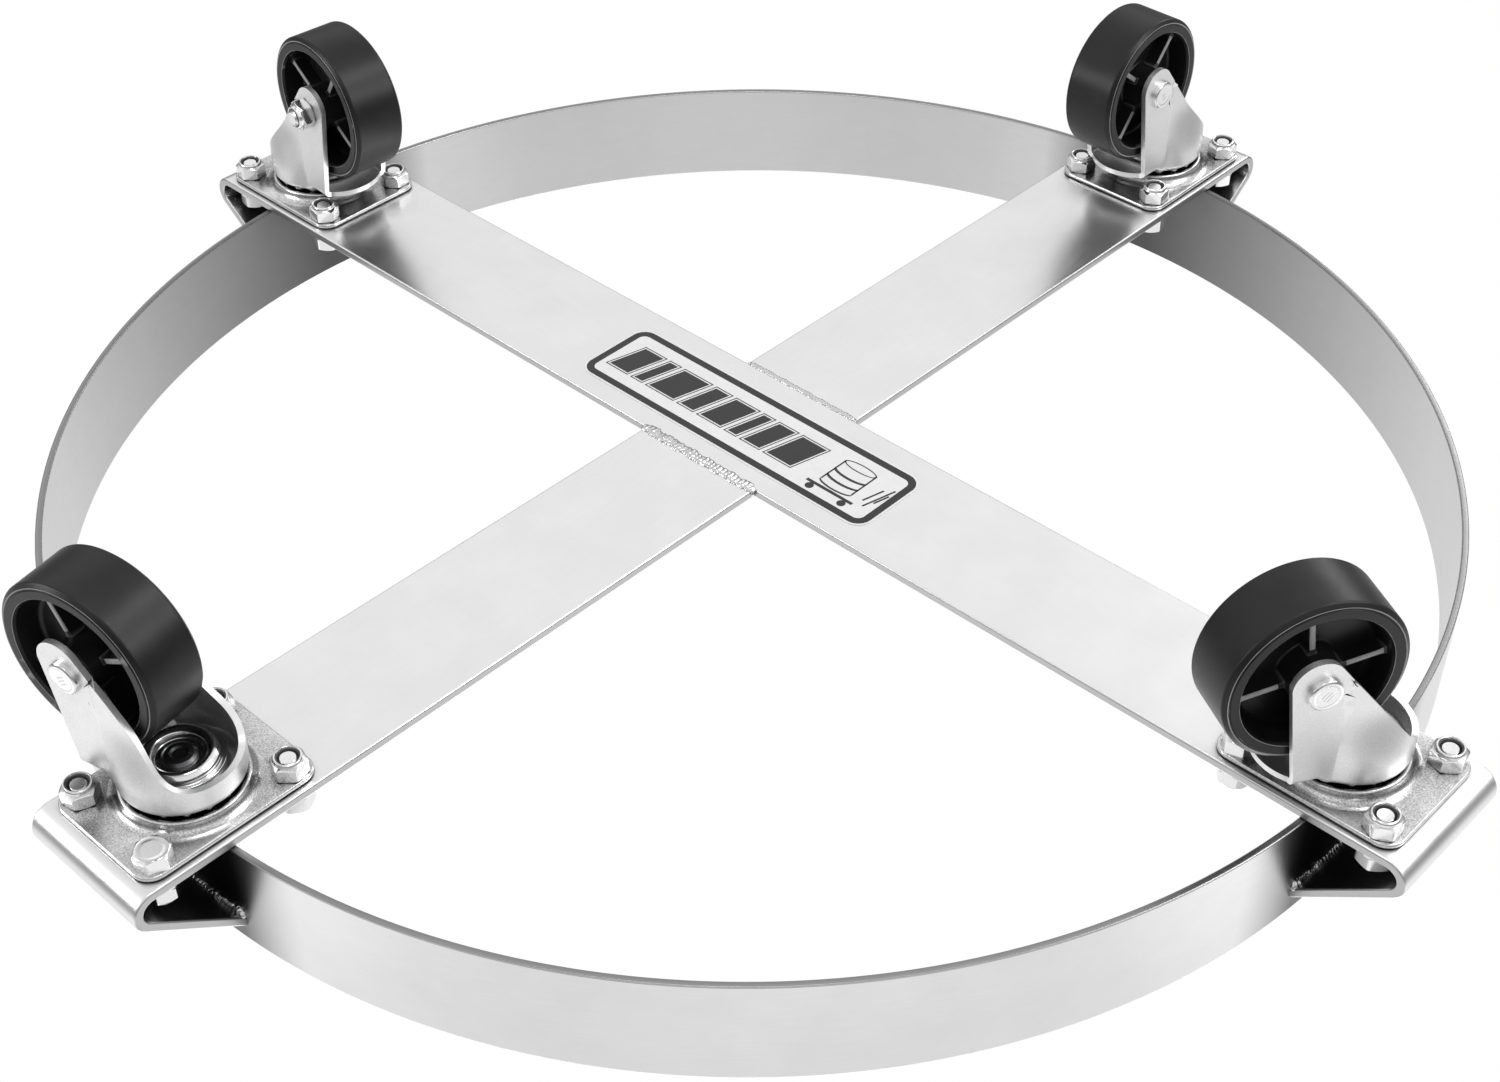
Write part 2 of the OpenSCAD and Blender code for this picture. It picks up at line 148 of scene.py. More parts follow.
class Shape:
    """Vertices in millimetres, faces, and the material number of each face."""

    def __init__(self):
        self.verts, self.faces, self.slots = [], [], []

    def add(self, verts, faces, space=IDENTITY, slot=0):
        start = len(self.verts)
        self.verts += [space @ Vector(v) for v in verts]
        self.faces += [[start + k for k in face] for face in faces]
        self.slots += [slot] * len(faces)

    def grid(self, rows, space, slot=0, wrap=False, flip=False):
        """Quads between equal rows of points; wrap joins each row's end to its start."""
        count = len(rows[0])
        last = count if wrap else count - 1
        faces = []
        for i in range(len(rows) - 1):
            for j in range(last):
                k = (j + 1) % count
                quad = [i * count + j, i * count + k, (i + 1) * count + k, (i + 1) * count + j]
                faces.append(quad[::-1] if flip else quad)
        self.add([p for row in rows for p in row], faces, space, slot)

    def tube(self, rows, space=IDENTITY):
        """Closed tube through rows of points, with a face on each end."""
        count = len(rows[0])
        start = len(self.verts)
        self.grid(rows, space, wrap=True)
        ends = [start + k for k in range(count)]
        self.faces += [ends[::-1], [k + count * (len(rows) - 1) for k in ends]]
        self.slots += [0, 0]

    def revolve(self, profile, steps, space=IDENTITY, slot=0, loop=False):
        """(radius, z) profile turned about z; a profile that isn't a loop ends on the axis or is capped."""
        rows = []
        for k in range(steps):
            c, s = polar(1, 360 * k / steps)
            rows.append([(r * c, r * s, z) for r, z in profile])
        rows.append(rows[0])
        self.grid(rows, space, slot, wrap=loop)

    def mesh(self, name):
        weld = 0.002 * MM
        mesh = bpy.data.meshes.new(name)
        mesh.from_pydata([v * MM for v in self.verts], [], self.faces)
        mesh.polygons.foreach_set("material_index", self.slots)
        bm = bmesh.new()
        bm.from_mesh(mesh)
        bmesh.ops.remove_doubles(bm, verts=bm.verts, dist=weld)
        bmesh.ops.dissolve_degenerate(bm, dist=weld / 4, edges=bm.edges)
        bmesh.ops.recalc_face_normals(bm, faces=bm.faces)
        bm.to_mesh(mesh)
        bm.free()
        return mesh

    def piece(self, name, body, slot, materials, replaced=(), angle=32, before=None):
        """A piece that rides on a body; before may add modifiers, which are applied."""
        mesh = self.mesh(name)
        for material in materials:
            mesh.materials.append(material)
        obj = new_object(name, mesh)
        if before:
            before(obj)
            bpy.context.view_layer.update()
            graph = bpy.context.evaluated_depsgraph_get()
            obj.data = bpy.data.meshes.new_from_object(obj.evaluated_get(graph))
            obj.modifiers.clear()
        obj.data.polygons.foreach_set("use_smooth", [True] * len(obj.data.polygons))
        obj.data.set_sharp_from_angle(angle=math.radians(angle))
        normals = obj.modifiers.new("normals", "WEIGHTED_NORMAL")
        normals.keep_sharp = True
        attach(obj, body)
        if replaced:
            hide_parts(*replaced)
        return obj


# ---- spaces of a caster: z away from the bar, x the way the arm or the wheel points ----

def turned_space(point, degrees):
    return Matrix.Translation(Vector(point) / MM) @ turned(degrees) @ FLIP


def fixed_space(side):
    return turned_space(JOINTS["swivel_" + side]["pos_m"], ARM_TURN[side])


def swivel_space(side):
    axis = JOINTS["spin_" + side]["axis"]
    return turned_space(JOINTS["swivel_" + side]["pos_m"], math.degrees(math.atan2(-axis[0], axis[1])))


def axle_space(side):
    axle = Vector(JOINTS["spin_" + side]["pos_m"]) / MM
    local = swivel_space(side).inverted() @ axle
    return swivel_space(side) @ Matrix.Translation(local) @ Matrix.Rotation(-math.pi / 2, 4, "X")


AXLE = swivel_space("left").inverted() @ (Vector(JOINTS["spin_left"]["pos_m"]) / MM)
TRAIL, AXLE_Z = AXLE.x, AXLE.z


# ---- materials ----

# Colours blended into a surface's colour: dirt specks made heavier in hollows as painted shade,
# painted shade and painted reflection beside the ring's arms, painted shade in hollows, sheared faces,
# and edges lightened as wear and painted highlight on zinc and on plastic
SMUDGE_AND_SHADE = (0.10, 0.10, 0.10, 1)
ARM_SHADE = (0.06, 0.06, 0.06, 1)
HOLLOW_SHADE = (0.035, 0.035, 0.037, 1)
SHEARED = (0.16, 0.16, 0.16, 1)
RUBBED_AND_HIGHLIT = (0.95, 0.95, 0.95, 1)
SCUFFED_AND_HIGHLIT = (0.35, 0.35, 0.35, 1)


class Nodes:
    """A material's node tree, with short calls for the nodes used below."""

    def __init__(self, name):
        self.material = bpy.data.materials.new(name)
        self.material.use_nodes = True
        self.tree = self.material.node_tree
        self.shader = self.tree.nodes["Principled BSDF"]
        self.position = self.add("ShaderNodeTexCoord").outputs["Object"]

    def add(self, kind, **settings):
        node = self.tree.nodes.new(kind)
        for key, value in settings.items():
            setattr(node, key, value)
        return node

    def link(self, output, node, socket):
        self.tree.links.new(output, node.inputs[socket])

    def feed(self, node, socket, value):
        if isinstance(value, bpy.types.NodeSocket):
            self.link(value, node, socket)
        else:
            node.inputs[socket].default_value = value

    def math(self, operation, a, b=0.0):
        node = self.add("ShaderNodeMath", operation=operation)
        self.feed(node, 0, a)
        self.feed(node, 1, b)
        return node.outputs[0]

    def times(self, a, b):
        return self.math("MULTIPLY", a, b)

    def parts(self, vector):
        """Outputs X, Y and Z of a vector."""
        node = self.add("ShaderNodeSeparateXYZ")
        self.link(vector, node, 0)
        return node.outputs

    def scaled(self, vector, scale):
        node = self.add("ShaderNodeMapping")
        self.link(vector, node, "Vector")
        node.inputs["Scale"].default_value = scale
        return node.outputs[0]

    def noise(self, vector, size, detail, roughness=0.5):
        """Noise from 0 to 1 with features of about size millimetres."""
        node = self.add("ShaderNodeTexNoise")
        self.link(vector, node, "Vector")
        node.inputs["Scale"].default_value = 1 / (size * MM)
        node.inputs["Detail"].default_value = detail
        node.inputs["Roughness"].default_value = roughness
        return node.outputs["Fac"]

    def ramp(self, value, low, high, out_low=0.0, out_high=1.0):
        node = self.add("ShaderNodeMapRange", clamp=True)
        self.feed(node, "Value", value)
        for socket, number in zip(
            ("From Min", "From Max", "To Min", "To Max"), (low, high, out_low, out_high)
        ):
            node.inputs[socket].default_value = number
        return node.outputs[0]

    def blend(self, factor, dark, light):
        node = self.add("ShaderNodeMix", data_type="RGBA")
        self.feed(node, "Factor", factor)
        self.feed(node, 6, dark)
        self.feed(node, 7, light)
        return node.outputs[2]

    def bump(self, height, strength, distance, normal=None):
        node = self.add("ShaderNodeBump")
        self.link(height, node, "Height")
        node.inputs["Strength"].default_value = strength
        node.inputs["Distance"].default_value = distance * MM
        if normal:
            self.link(normal, node, "Normal")
        return node.outputs[0]


def along_ring(n):
    """Coordinates that run along the ring's strip, in metres: arc length, 0, height."""
    place = n.parts(n.position)
    angle = n.math("ARCTAN2", place["Y"], place["X"])
    join = n.add("ShaderNodeCombineXYZ")
    n.link(n.times(angle, RING_RO * MM), join, "X")
    n.link(place["Z"], join, "Z")
    return join.outputs[0]


def arm_shade_mask(n):
    """How much painted shade and painted reflection of the arms darken the ring: far along its inner face
    beside two of them, faintly on the rest of that face, and only close by on the outer face."""
    place = n.parts(n.position)
    x, y = place["X"], place["Y"]
    radius = n.math("SQRT", n.math("ADD", n.times(x, x), n.times(y, y)))
    inside = n.math("LESS_THAN", radius, (RING_RI + RING_T / 2) * MM)
    at_two_arms = n.math("LESS_THAN", n.math("MINIMUM", x, y), -0.2)
    along = n.math("MAXIMUM", x, y)
    clear_of_arm = n.ramp(along, -0.075, -0.030)
    fading = n.math("POWER", n.ramp(along, 0.0, 0.33, 1, 0), 1.4)
    far = n.times(fading, n.times(at_two_arms, clear_of_arm))
    elsewhere = 0.25
    far = n.times(n.math("MAXIMUM", n.times(far, 1.12), elsewhere), inside)
    aside = n.math("MINIMUM", n.math("ABSOLUTE", x), n.math("ABSOLUTE", y))
    close_by = n.times(n.ramp(aside, 0.030, 0.062, 1, 0), n.math("SUBTRACT", 1.0, inside))
    return n.math("MAXIMUM", far, n.times(n.math("POWER", close_by, 1.3), 1.05))


def zinc(name, tone, rough, grain, streak, spangle, hollow_shade, smudge_and_shade=0.0, coordinates=None, painted_arm_shade=None, cut=None):
    """Bright zinc plating: cloudy tone, streaks along the rolling direction, painted shade in the hollows,
    dirt specks made heavier in the hollows as painted shade, painted shade and painted reflection beside the
    ring's arms where a mask is given, and edges lightened as rubbed wear and painted highlight or, with
    cut = (axis, share), darker sheared faces that look along the axis."""
    n = Nodes(name)
    base = coordinates(n) if coordinates else n.position
    clouds = n.noise(base, spangle, 4, 0.55)
    streaks = n.noise(n.scaled(base, grain), 0.7, 4, 0.65)
    pits = n.noise(base, 0.45, 2, 0.5)
    edge = n.ramp(n.add("ShaderNodeNewGeometry").outputs["Pointiness"], 0.51, 0.60)
    # Ambient occlusion: further down it paints shade into the colour of hollows and crevices
    hollow = n.add("ShaderNodeAmbientOcclusion", samples=4)
    hollow.inputs["Distance"].default_value = 0.035
    painted_shade = n.ramp(hollow.outputs["AO"], 0.12, 0.72, 1, 0)
    light = [min(1.0, c * 1.03) for c in tone]
    dark = [c * 0.965 for c in tone]
    colour = n.blend(n.ramp(clouds, 0.3, 0.7), (*dark, 1), (*light, 1))
    colour = n.blend(n.ramp(streaks, 0.35, 0.75, 0, 0.30 * streak), colour, (*[c * 0.86 for c in tone], 1))
    if smudge_and_shade:
        # Dirt specks, made heavier in hollows by ambient occlusion: real dirt with painted shade
        specks = n.noise(base, 0.55, 4, 0.8)
        dirt = n.math("ADD", n.times(specks, 0.75), n.times(clouds, 0.25))
        near = n.ramp(hollow.outputs["AO"], 0.35, 0.95, 1, 0.55)
        dirt = n.times(n.ramp(dirt, 0.42, 0.58), near)
        colour = n.blend(n.times(dirt, smudge_and_shade), colour, SMUDGE_AND_SHADE)
    if painted_arm_shade:
        # Painted shade and painted reflection of the arms on the ring
        colour = n.blend(n.times(painted_arm_shade(n), 0.84), colour, ARM_SHADE)
    colour = n.blend(n.times(n.math("POWER", painted_shade, 0.8), hollow_shade), colour, HOLLOW_SHADE)
    if cut:
        axis, share = cut
        facing = n.parts(n.add("ShaderNodeNewGeometry").outputs["Normal"])
        sheared = n.ramp(n.math("ABSOLUTE", facing[axis]), 0.45, 0.90)
        colour = n.blend(n.times(sheared, share), colour, SHEARED)
    else:
        # Edges lightened by pointiness: rubbed wear and painted highlight
        colour = n.blend(n.times(edge, 0.6), colour, RUBBED_AND_HIGHLIT)
    n.link(colour, n.shader, "Base Color")
    n.shader.inputs["Metallic"].default_value = 1.0
    roughness = n.ramp(clouds, 0.25, 0.75, rough * 0.93, rough * 1.07)
    roughness = n.math("ADD", roughness, n.ramp(streaks, 0.3, 0.8, 0, 0.07))
    n.link(roughness, n.shader, "Roughness")
    fine = n.bump(streaks, 0.22 * streak, 0.04)
    n.link(n.bump(pits, 0.12, 0.03, fine), n.shader, "Normal")
    return n.material


def plastic(name, tone, rough, grain_size=0.35, texture=0.3):
    """Moulded plastic: near-black, with a fine moulded grain, faint scuffs, duller worn patches, and edges
    lightened grey as scuffing and painted highlight.
    """
    n = Nodes(name)
    patches = n.noise(n.position, 14, 3, 0.5)
    grain = n.noise(n.position, grain_size, 2, 0.5)
    scuffs = n.noise(n.scaled(n.position, (1, 6, 1)), 1.6, 5, 0.7)
    light = [c * 1.6 + 0.002 for c in tone]
    colour = n.blend(n.ramp(patches, 0.35, 0.75), (*tone, 1), (*light, 1))
    edge = n.ramp(n.add("ShaderNodeNewGeometry").outputs["Pointiness"], 0.52, 0.62)
    # Edges lightened grey by pointiness: scuffing and painted highlight
    colour = n.blend(n.times(edge, 0.5), colour, SCUFFED_AND_HIGHLIT)
    n.link(colour, n.shader, "Base Color")
    n.link(n.ramp(scuffs, 0.3, 0.8, rough, rough + 0.10), n.shader, "Roughness")
    n.shader.inputs["Specular IOR Level"].default_value = 0.34
    n.link(n.bump(grain, texture, 0.03), n.shader, "Normal")
    return n.material


def print_film(name, light, dark, rough):
    """Printed film: nearly even, with a little mottling and orange-peel bump."""
    n = Nodes(name)
    mottle = n.noise(n.position, 5, 3, 0.5)
    n.link(n.blend(n.ramp(mottle, 0.3, 0.7), (*dark, 1), (*light, 1)), n.shader, "Base Color")
    n.link(n.ramp(mottle, 0.3, 0.7, rough, rough + 0.08), n.shader, "Roughness")
    n.link(n.bump(n.noise(n.position, 0.8, 2), 0.08, 0.02), n.shader, "Normal")
    return n.material


# The ring's colour carries painted shade and painted reflection beside the arms
ZINC_RING = zinc("zinc_ring", (0.82, 0.82, 0.82), 0.30, (0.04, 1, 1), 0.8, 30, 0.9,
                 coordinates=along_ring, painted_arm_shade=arm_shade_mask, cut=("Z", 0.75))
ZINC_BAR_X = zinc("zinc_bar_lengthwise", (0.86, 0.86, 0.86), 0.28, (0.05, 1, 1), 0.5, 30, 0.9,
                  cut=("Y", 0.45))
ZINC_BAR_Y = zinc("zinc_bar_crosswise", (0.86, 0.86, 0.86), 0.28, (1, 0.05, 1), 0.5, 30, 0.9,
                  cut=("X", 0.45))
ZINC_PLATE = zinc("zinc_plate", (0.86, 0.86, 0.86), 0.22, (1, 1, 1), 0.7, 12, 0.6, 0.85)
ZINC_YOKE = zinc("zinc_yoke", (0.92, 0.92, 0.92), 0.38, (1, 1, 0.3), 0.5, 16, 0.4, 0.25)
ZINC_CUP = zinc("zinc_cup", (0.92, 0.92, 0.92), 0.14, (1, 1, 1), 0.4, 5, 0.30, 0.2)
ZINC_BOLT = zinc("zinc_bolt", (0.93, 0.93, 0.93), 0.16, (1, 1, 1), 0.6, 4, 0.5, 0.25)
ZINC_WELD = zinc("zinc_weld", (0.68, 0.68, 0.68), 0.22, (1, 1, 1), 0.8, 2, 0.7)
DARK_WELD = zinc("dark_weld", (0.50, 0.50, 0.50), 0.26, (1, 1, 1), 0.8, 2, 0.95)
DARK_PIN = zinc("dark_pin", (0.14, 0.14, 0.145), 0.34, (1, 1, 1), 0.8, 2, 0.4)
BALL_STEEL = zinc("ball_steel", (0.55, 0.55, 0.55), 0.14, (1, 1, 1), 0.3, 2, 0.3)
BLACK_WHEEL = plastic("black_wheel", (0.0055, 0.0055, 0.006), 0.33)
# Lighter plastic for the wheels' narrow ridges and rib tops: painted highlight
RIDGE_HIGHLIGHT = plastic("painted_ridge_highlight", (0.26, 0.26, 0.26), 0.24)
NYLON = plastic("nylon_insert", (0.012, 0.012, 0.013), 0.40, 0.5, 0.15)
LABEL_FILM = print_film("label_film", (0.70, 0.70, 0.70), (0.66, 0.66, 0.66), 0.34)
LABEL_INK = print_film("label_ink", (0.016, 0.016, 0.018), (0.010, 0.010, 0.012), 0.28)


# ---- frame ----

def ring_strip():
    edge = 0.7
    section = fillet([
        (RING_RI, SEAT_Z + 10, 0), (RING_RI, SEAT_Z, edge), (RING_RO, SEAT_Z, edge),
        (RING_RO, RING_HIGH.z, edge), (RING_RI, RING_HIGH.z, edge), (RING_RI, SEAT_Z + 10, 0),
    ], 4)[:-1]
    shape = Shape()
    shape.revolve(section, 360, loop=True)
    shape.piece("ring_rolled", "frame", "ring_steel", [ZINC_RING], ["ring"])


def bar_section(y_low, y_high):
    """Rounded cross-section of the flat bar as (y, offset from the middle of its thickness)."""
    half = BAR_T / 2
    edge = 0.9
    rows = 8
    side = fillet([
        (0, -half, 0), (y_high, -half, edge), (y_high, half, edge), (y_low, half, edge),
        (y_low, -half, edge), (0, -half, 0),
    ], 4)[:-1]
    points = []
    for a, b in zip(side, side[1:] + side[:1]):
        points.append(a)
        if math.dist(a, b) > BAR_W / 4:
            points += [(mix(a[0], b[0], k / rows), mix(a[1], b[1], k / rows)) for k in range(1, rows)]
    return points


def arm_path():
    """Middle line of a folded end: (x, z, inward normal x, inward normal z), from the bar to the leg."""
    mid_r = FOLD_R - BAR_T / 2
    centre_x, centre_z = ARM_END - FOLD_R, BAR_Z + FOLD_R
    path = []
    steps = 28
    for k in range(steps + 1):
        c, s = polar(1, FOLD_TURN * k / steps - 90)
        path.append((centre_x + mid_r * c, centre_z + mid_r * s, -c, -s))
    return path


def arm_rows(section):
    """Rows of a folded end, the last one upright where the leg meets the ring's outer face."""
    rows = []
    path = arm_path()
    for x, z, nx, nz in path:
        rows.append([Vector((x + nx * d, y, z + nz * d)) for y, d in section])
    tip_x = RING_RO - 2
    nx, nz = path[-1][2:]
    slope = Vector((nz, 0, -nx)) * (-1 if nz > 0 else 1)
    if slope.x > 0:
        slope = -slope
    steps = 10
    for k in range(1, steps + 1):
        rows.append([p + slope * ((tip_x - p.x) / slope.x * k / steps) for p in rows[len(path) - 1]])
    return rows


def bar_rows(start_x, section):
    """Rows from start_x out to the fold, round it and up the leg."""
    fold_x = ARM_END - FOLD_R
    steps = 24
    rows = []
    for k in range(steps):
        x = mix(start_x, fold_x, k / steps)
        rows.append([Vector((x, y, BAR_Z + BAR_T / 2 + d)) for y, d in section])
    return rows + arm_rows(section)


def bars():
    section = bar_section(-BAR_W / 2, BAR_W / 2)
    half = bar_rows(0, section)
    mirrored = [[Vector((-p.x, p.y, p.z)) for p in row] for row in half[:0:-1]]
    shape = Shape()
    shape.tube(mirrored + half)
    shape.piece("through_bar_folded", "frame", "bar_steel", [ZINC_BAR_X], ["through_bar"])
    for side in ("front", "rear"):
        rows = bar_rows(BAR_W / 2 + WELD_GAP, section)
        shape = Shape()
        shape.tube(rows, turned(ARM_TURN[side]))
        name = "half_bar_" + side
        shape.piece(name + "_folded", "frame", "bar_steel", [ZINC_BAR_Y], [name])


# Weld beads: width, height, length of a ripple
BROAD_BEAD = (5.2, 1.35, 2.1)
THIN_BEAD = (2.6, 0.55, 1.7)
TOP_BEAD = (4.4, 1.0, 1.9)
EDGE_BEAD = (2.6, 0.7, 1.5)
RING_BEAD = (4.6, 1.5, 1.8)


def bead(shape, points, up, size, seed, sink=0.4):
    """Rippled weld bead along closely spaced points; up is the way it stands out."""
    width, height, pitch = size
    chance = random.Random(seed)
    phase = [chance.uniform(0, 6.28) for _ in range(4)]
    total = sum((b - a).length for a, b in zip(points, points[1:]))
    across = 16
    rows = []
    travelled = 0.0
    for k, point in enumerate(points):
        ahead = points[min(k + 1, len(points) - 1)] - points[max(k - 1, 0)]
        side = ahead.normalized().cross(up).normalized()
        if k:
            travelled += (point - points[k - 1]).length
        end = min(travelled, total - travelled)
        taper = math.sqrt(min(1.0, end / (width * 0.5) + 0.02))
        sway = 0.06 * math.sin(travelled * 0.55 + phase[0]) + 0.04 * math.sin(travelled * 1.7 + phase[1])
        swell = 1 + 0.09 * math.sin(travelled * 0.8 + phase[2]) + 0.05 * math.sin(travelled * 2.9 + phase[3])
        row = []
        for j in range(across + 1):
            c, s = polar(1, 180 * j / across)
            wave = (travelled + 0.33 * width * c * c) / pitch
            ridge = 1 - abs((wave % 1.0) * 2 - 1) ** 1.6
            lift = (0.80 + 0.28 * ridge) * swell * taper * height * s
            reach = (0.5 * c * (1 + 0.05 * ridge) * swell * taper + sway) * width
            row.append(point + side * reach + up * lift)
        row.append(point - side * (0.45 * width * taper) - up * sink)
        row.append(point + side * (0.45 * width * taper) - up * sink)
        rows.append(row)
    shape.tube(rows)


def line_points(a, b, spacing=0.3):
    count = max(2, int((b - a).length / spacing))
    return [a.lerp(b, k / count) for k in range(count + 1)]


def welds():
    half = BAR_W / 2
    seam = half + WELD_GAP / 2
    shape = Shape()
    under, over = BAR_Z, SEAT_Z
    bead(shape, line_points(Vector((-half - 1.5, seam, under)), Vector((half + 1, seam, under))),
         -UP, BROAD_BEAD, 3)
    bead(shape, line_points(Vector((half - 1, -seam, under)), Vector((-half + 1, -seam, under))),
         -UP, THIN_BEAD, 5)
    for sign in (-1, 1):
        bead(shape, line_points(Vector((-half, sign * seam, over)), Vector((half, sign * seam, over))),
             UP, TOP_BEAD, 8 + sign)
        for end in (-1, 1):
            low, high = Vector((end * half, sign * seam, under)), Vector((end * half, sign * seam, over))
            bead(shape, line_points(low, high), Vector((end, 0, 0)), EDGE_BEAD, 12 + sign + 4 * end, 2)
    shape.piece("centre_beads", "frame", "weld", [ZINC_WELD], ["centre_welds"])

    ring_shape, tip_shape = Shape(), Shape()
    leg_tip_z = leg_corner_z()
    for turn in ARM_TURN.values():
        space = turned(turn)
        outward = space @ Vector((1, 0, 0))
        arc = [Vector((*polar(RING_RO + 0.3, turn + a), SEAT_Z + 0.3))
               for a in (mix(-5.8, 5.8, k / 180) for k in range(181))]
        bead(ring_shape, arc, (outward + UP).normalized(), RING_BEAD, turn + 1, 1.2)
        reach = BAR_W / 2 - 0.5
        for low, high, width, seed in ((-reach, reach, 3.6, 2), (-reach - 1, -reach + 5, 6, 3),
                                       (reach - 5, reach + 1, 6, 4)):
            count = int((high - low) / 0.3)
            line = []
            for k in range(count + 1):
                y = mix(low, high, k / count)
                line.append(space @ Vector((math.sqrt((RING_RO + 0.2) ** 2 - y * y), y, leg_tip_z)))
            size = (width, width * 0.42, 1.9)
            bead(tip_shape, line, (outward - UP * 0.6).normalized(), size, turn + seed, 1.2)
    ring_shape.piece("ring_beads", "frame", "weld", [DARK_WELD], ["ring_welds"])
    tip_shape.piece("gusset_beads", "frame", "weld", [ZINC_WELD], ["gusset_welds"])


def leg_corner_z():
    """Height at which the inner face of a sloping leg meets the ring's outer face."""
    c, s = polar(1, FOLD_TURN - 90)
    inner = FOLD_R - BAR_T
    x, z = ARM_END - FOLD_R + inner * c, BAR_Z + FOLD_R + inner * s
    return z + (x - RING_RO) / s * c


# ---- label: a dark border, plain slanted blocks and a line drawing of a drum ----

LABEL_SPACE = Matrix.Translation((-2, 1, BAR_Z)) @ FLIP
LABEL_L, LABEL_W, LABEL_R = 171, 43, 8
FILM_T = 0.18
INK_T = 0.24
INK_FOOT = FILM_T - 0.02
BLOCK_WIDTHS = (11.5, 5.0, 15.5, 8.0, 12.5, 5.0, 9.5, 14.0)
BLOCK_GAP = 4.4


def round_outline(length, width, radius):
    steps = 12
    points = []
    for quarter, (sx, sy) in enumerate(((1, 1), (-1, 1), (-1, -1), (1, -1))):
        for k in range(steps + 1):
            c, s = polar(radius, 90 * (quarter + k / steps))
            points.append((sx * (length / 2 - radius) + c, sy * (width / 2 - radius) + s))
    return points


def slab(shape, outline, low=INK_FOOT, high=INK_T):
    """Flat closed plate of one outline."""
    count = len(outline)
    verts = [(x, y, low) for x, y in outline] + [(x, y, high) for x, y in outline]
    faces = [[k, (k + 1) % count, count + (k + 1) % count, count + k] for k in range(count)]
    faces += [list(range(count))[::-1], list(range(count, 2 * count))]
    shape.add(verts, faces, LABEL_SPACE)


def band(shape, outer, inner):
    """Flat closed band of ink between two outlines with equally many points."""
    levels = ((outer, INK_FOOT), (outer, INK_T), (inner, INK_T), (inner, INK_FOOT), (outer, INK_FOOT))
    shape.grid([[(x, y, z) for x, y in outline] for outline, z in levels], LABEL_SPACE, wrap=True)


def grown(outline, amount):
    """Outline moved out by amount, corner by corner."""
    result = []
    count = len(outline)
    for k, point in enumerate(outline):
        a = (Vector(point) - Vector(outline[k - 1])).normalized()
        b = (Vector(outline[(k + 1) % count]) - Vector(point)).normalized()
        out = Vector((a.y + b.y, -a.x - b.x)).normalized()
        result.append(tuple(Vector(point) + out * amount / max(0.4, out.dot(Vector((a.y, -a.x))))))
    return result


def stroke(shape, a, b, width):
    """Straight line of ink."""
    a, b = Vector(a), Vector(b)
    along = (b - a).normalized() * (width / 2)
    across = Vector((-along.y, along.x))
    slab(shape, [tuple(a - along - across), tuple(b + along - across),
                 tuple(b + along + across), tuple(a - along + across)])


def label():
    film = Shape()
    slab(film, round_outline(LABEL_L, LABEL_W, LABEL_R), 0, FILM_T)
    film.piece("label_film_base", "frame", "label", [LABEL_FILM], ["label"])
    ink = Shape()
    margin, border = 1.0, 3.5
    outer = round_outline(LABEL_L - 2 * margin, LABEL_W - 2 * margin, LABEL_R - margin)
    inner_gap = margin + border
    inner = round_outline(LABEL_L - 2 * inner_gap, LABEL_W - 2 * inner_gap, LABEL_R - inner_gap)
    band(ink, outer, inner)
    slant = 0.24
    tall = 9.3
    x = -74.5
    for width in BLOCK_WIDTHS:
        block = [(x - slant * tall, -tall), (x + width - slant * tall, -tall),
                 (x + width + slant * tall, tall), (x + slant * tall, tall)]
        slab(ink, block)
        band(ink, grown(block, 1.25), grown(block, 0.75))
        x += width + BLOCK_GAP
    drum(ink, 59, -0.5)
    ink.piece("label_print", "frame", "label", [LABEL_INK])


def drum(ink, x, y):
    """Line drawing of a drum on a low trolley, with three speed lines."""
    wide, tall, flat, line = 9.0, 10.0, 2.6, 0.8
    circle = [polar(1, 15 * k) for k in range(24)]
    lid = [(x + wide * c, y + tall + flat * s) for c, s in circle]
    hole = [(x + (wide - line) * c, y + tall + (flat - line * 0.7) * s) for c, s in circle]
    band(ink, lid, hole)
    for sign in (-1, 1):
        wall = x + sign * (wide - line / 2)
        stroke(ink, (wall, y - tall * 0.55), (wall, y + tall), line)
    for level, thick in ((-0.55, 0.9), (-0.05, 1.3), (0.45, 1.3)):
        half_circle = (polar(1, 180 + 15 * k) for k in range(13))
        arc = [(x + wide * c, y + tall * level + flat * s) for c, s in half_circle]
        below = [(px, py - thick) for px, py in arc]
        slab(ink, below + arc[::-1])
    deck = y - tall * 0.9 - 1.4
    stroke(ink, (x - wide - 3, deck), (x + wide + 3, deck), 1.6)
    for sign in (-1, 1):
        slab(ink, [(x + sign * wide + 2.0 * c, deck - 2.7 + 2.0 * s) for c, s in circle])
    for step, high in ((0, 5.0), (1, 8.0), (2, 3.5)):
        px = x + wide + 5.5 + step * 2.4
        stroke(ink, (px, y - high), (px + high * 0.48, y + high), 0.9)


# ---- caster plates ----

def plate_edge(degrees, inset):
    """Distance from the middle to the plate's outline in a direction."""
    half_l, half_w, corner = PLATE_L / 2 - inset, PLATE_W / 2 - inset, PLATE_CORNER - inset
    c, s = (abs(v) for v in polar(1, degrees))
    reach = min(half_l / max(c, 1e-6), half_w / max(s, 1e-6))
    cx, cy = half_l - corner, half_w - corner
    if reach * c > cx and reach * s > cy:
        along = cx * c + cy * s
        reach = along + math.sqrt(along * along - cx * cx - cy * cy + corner * corner)
    return reach


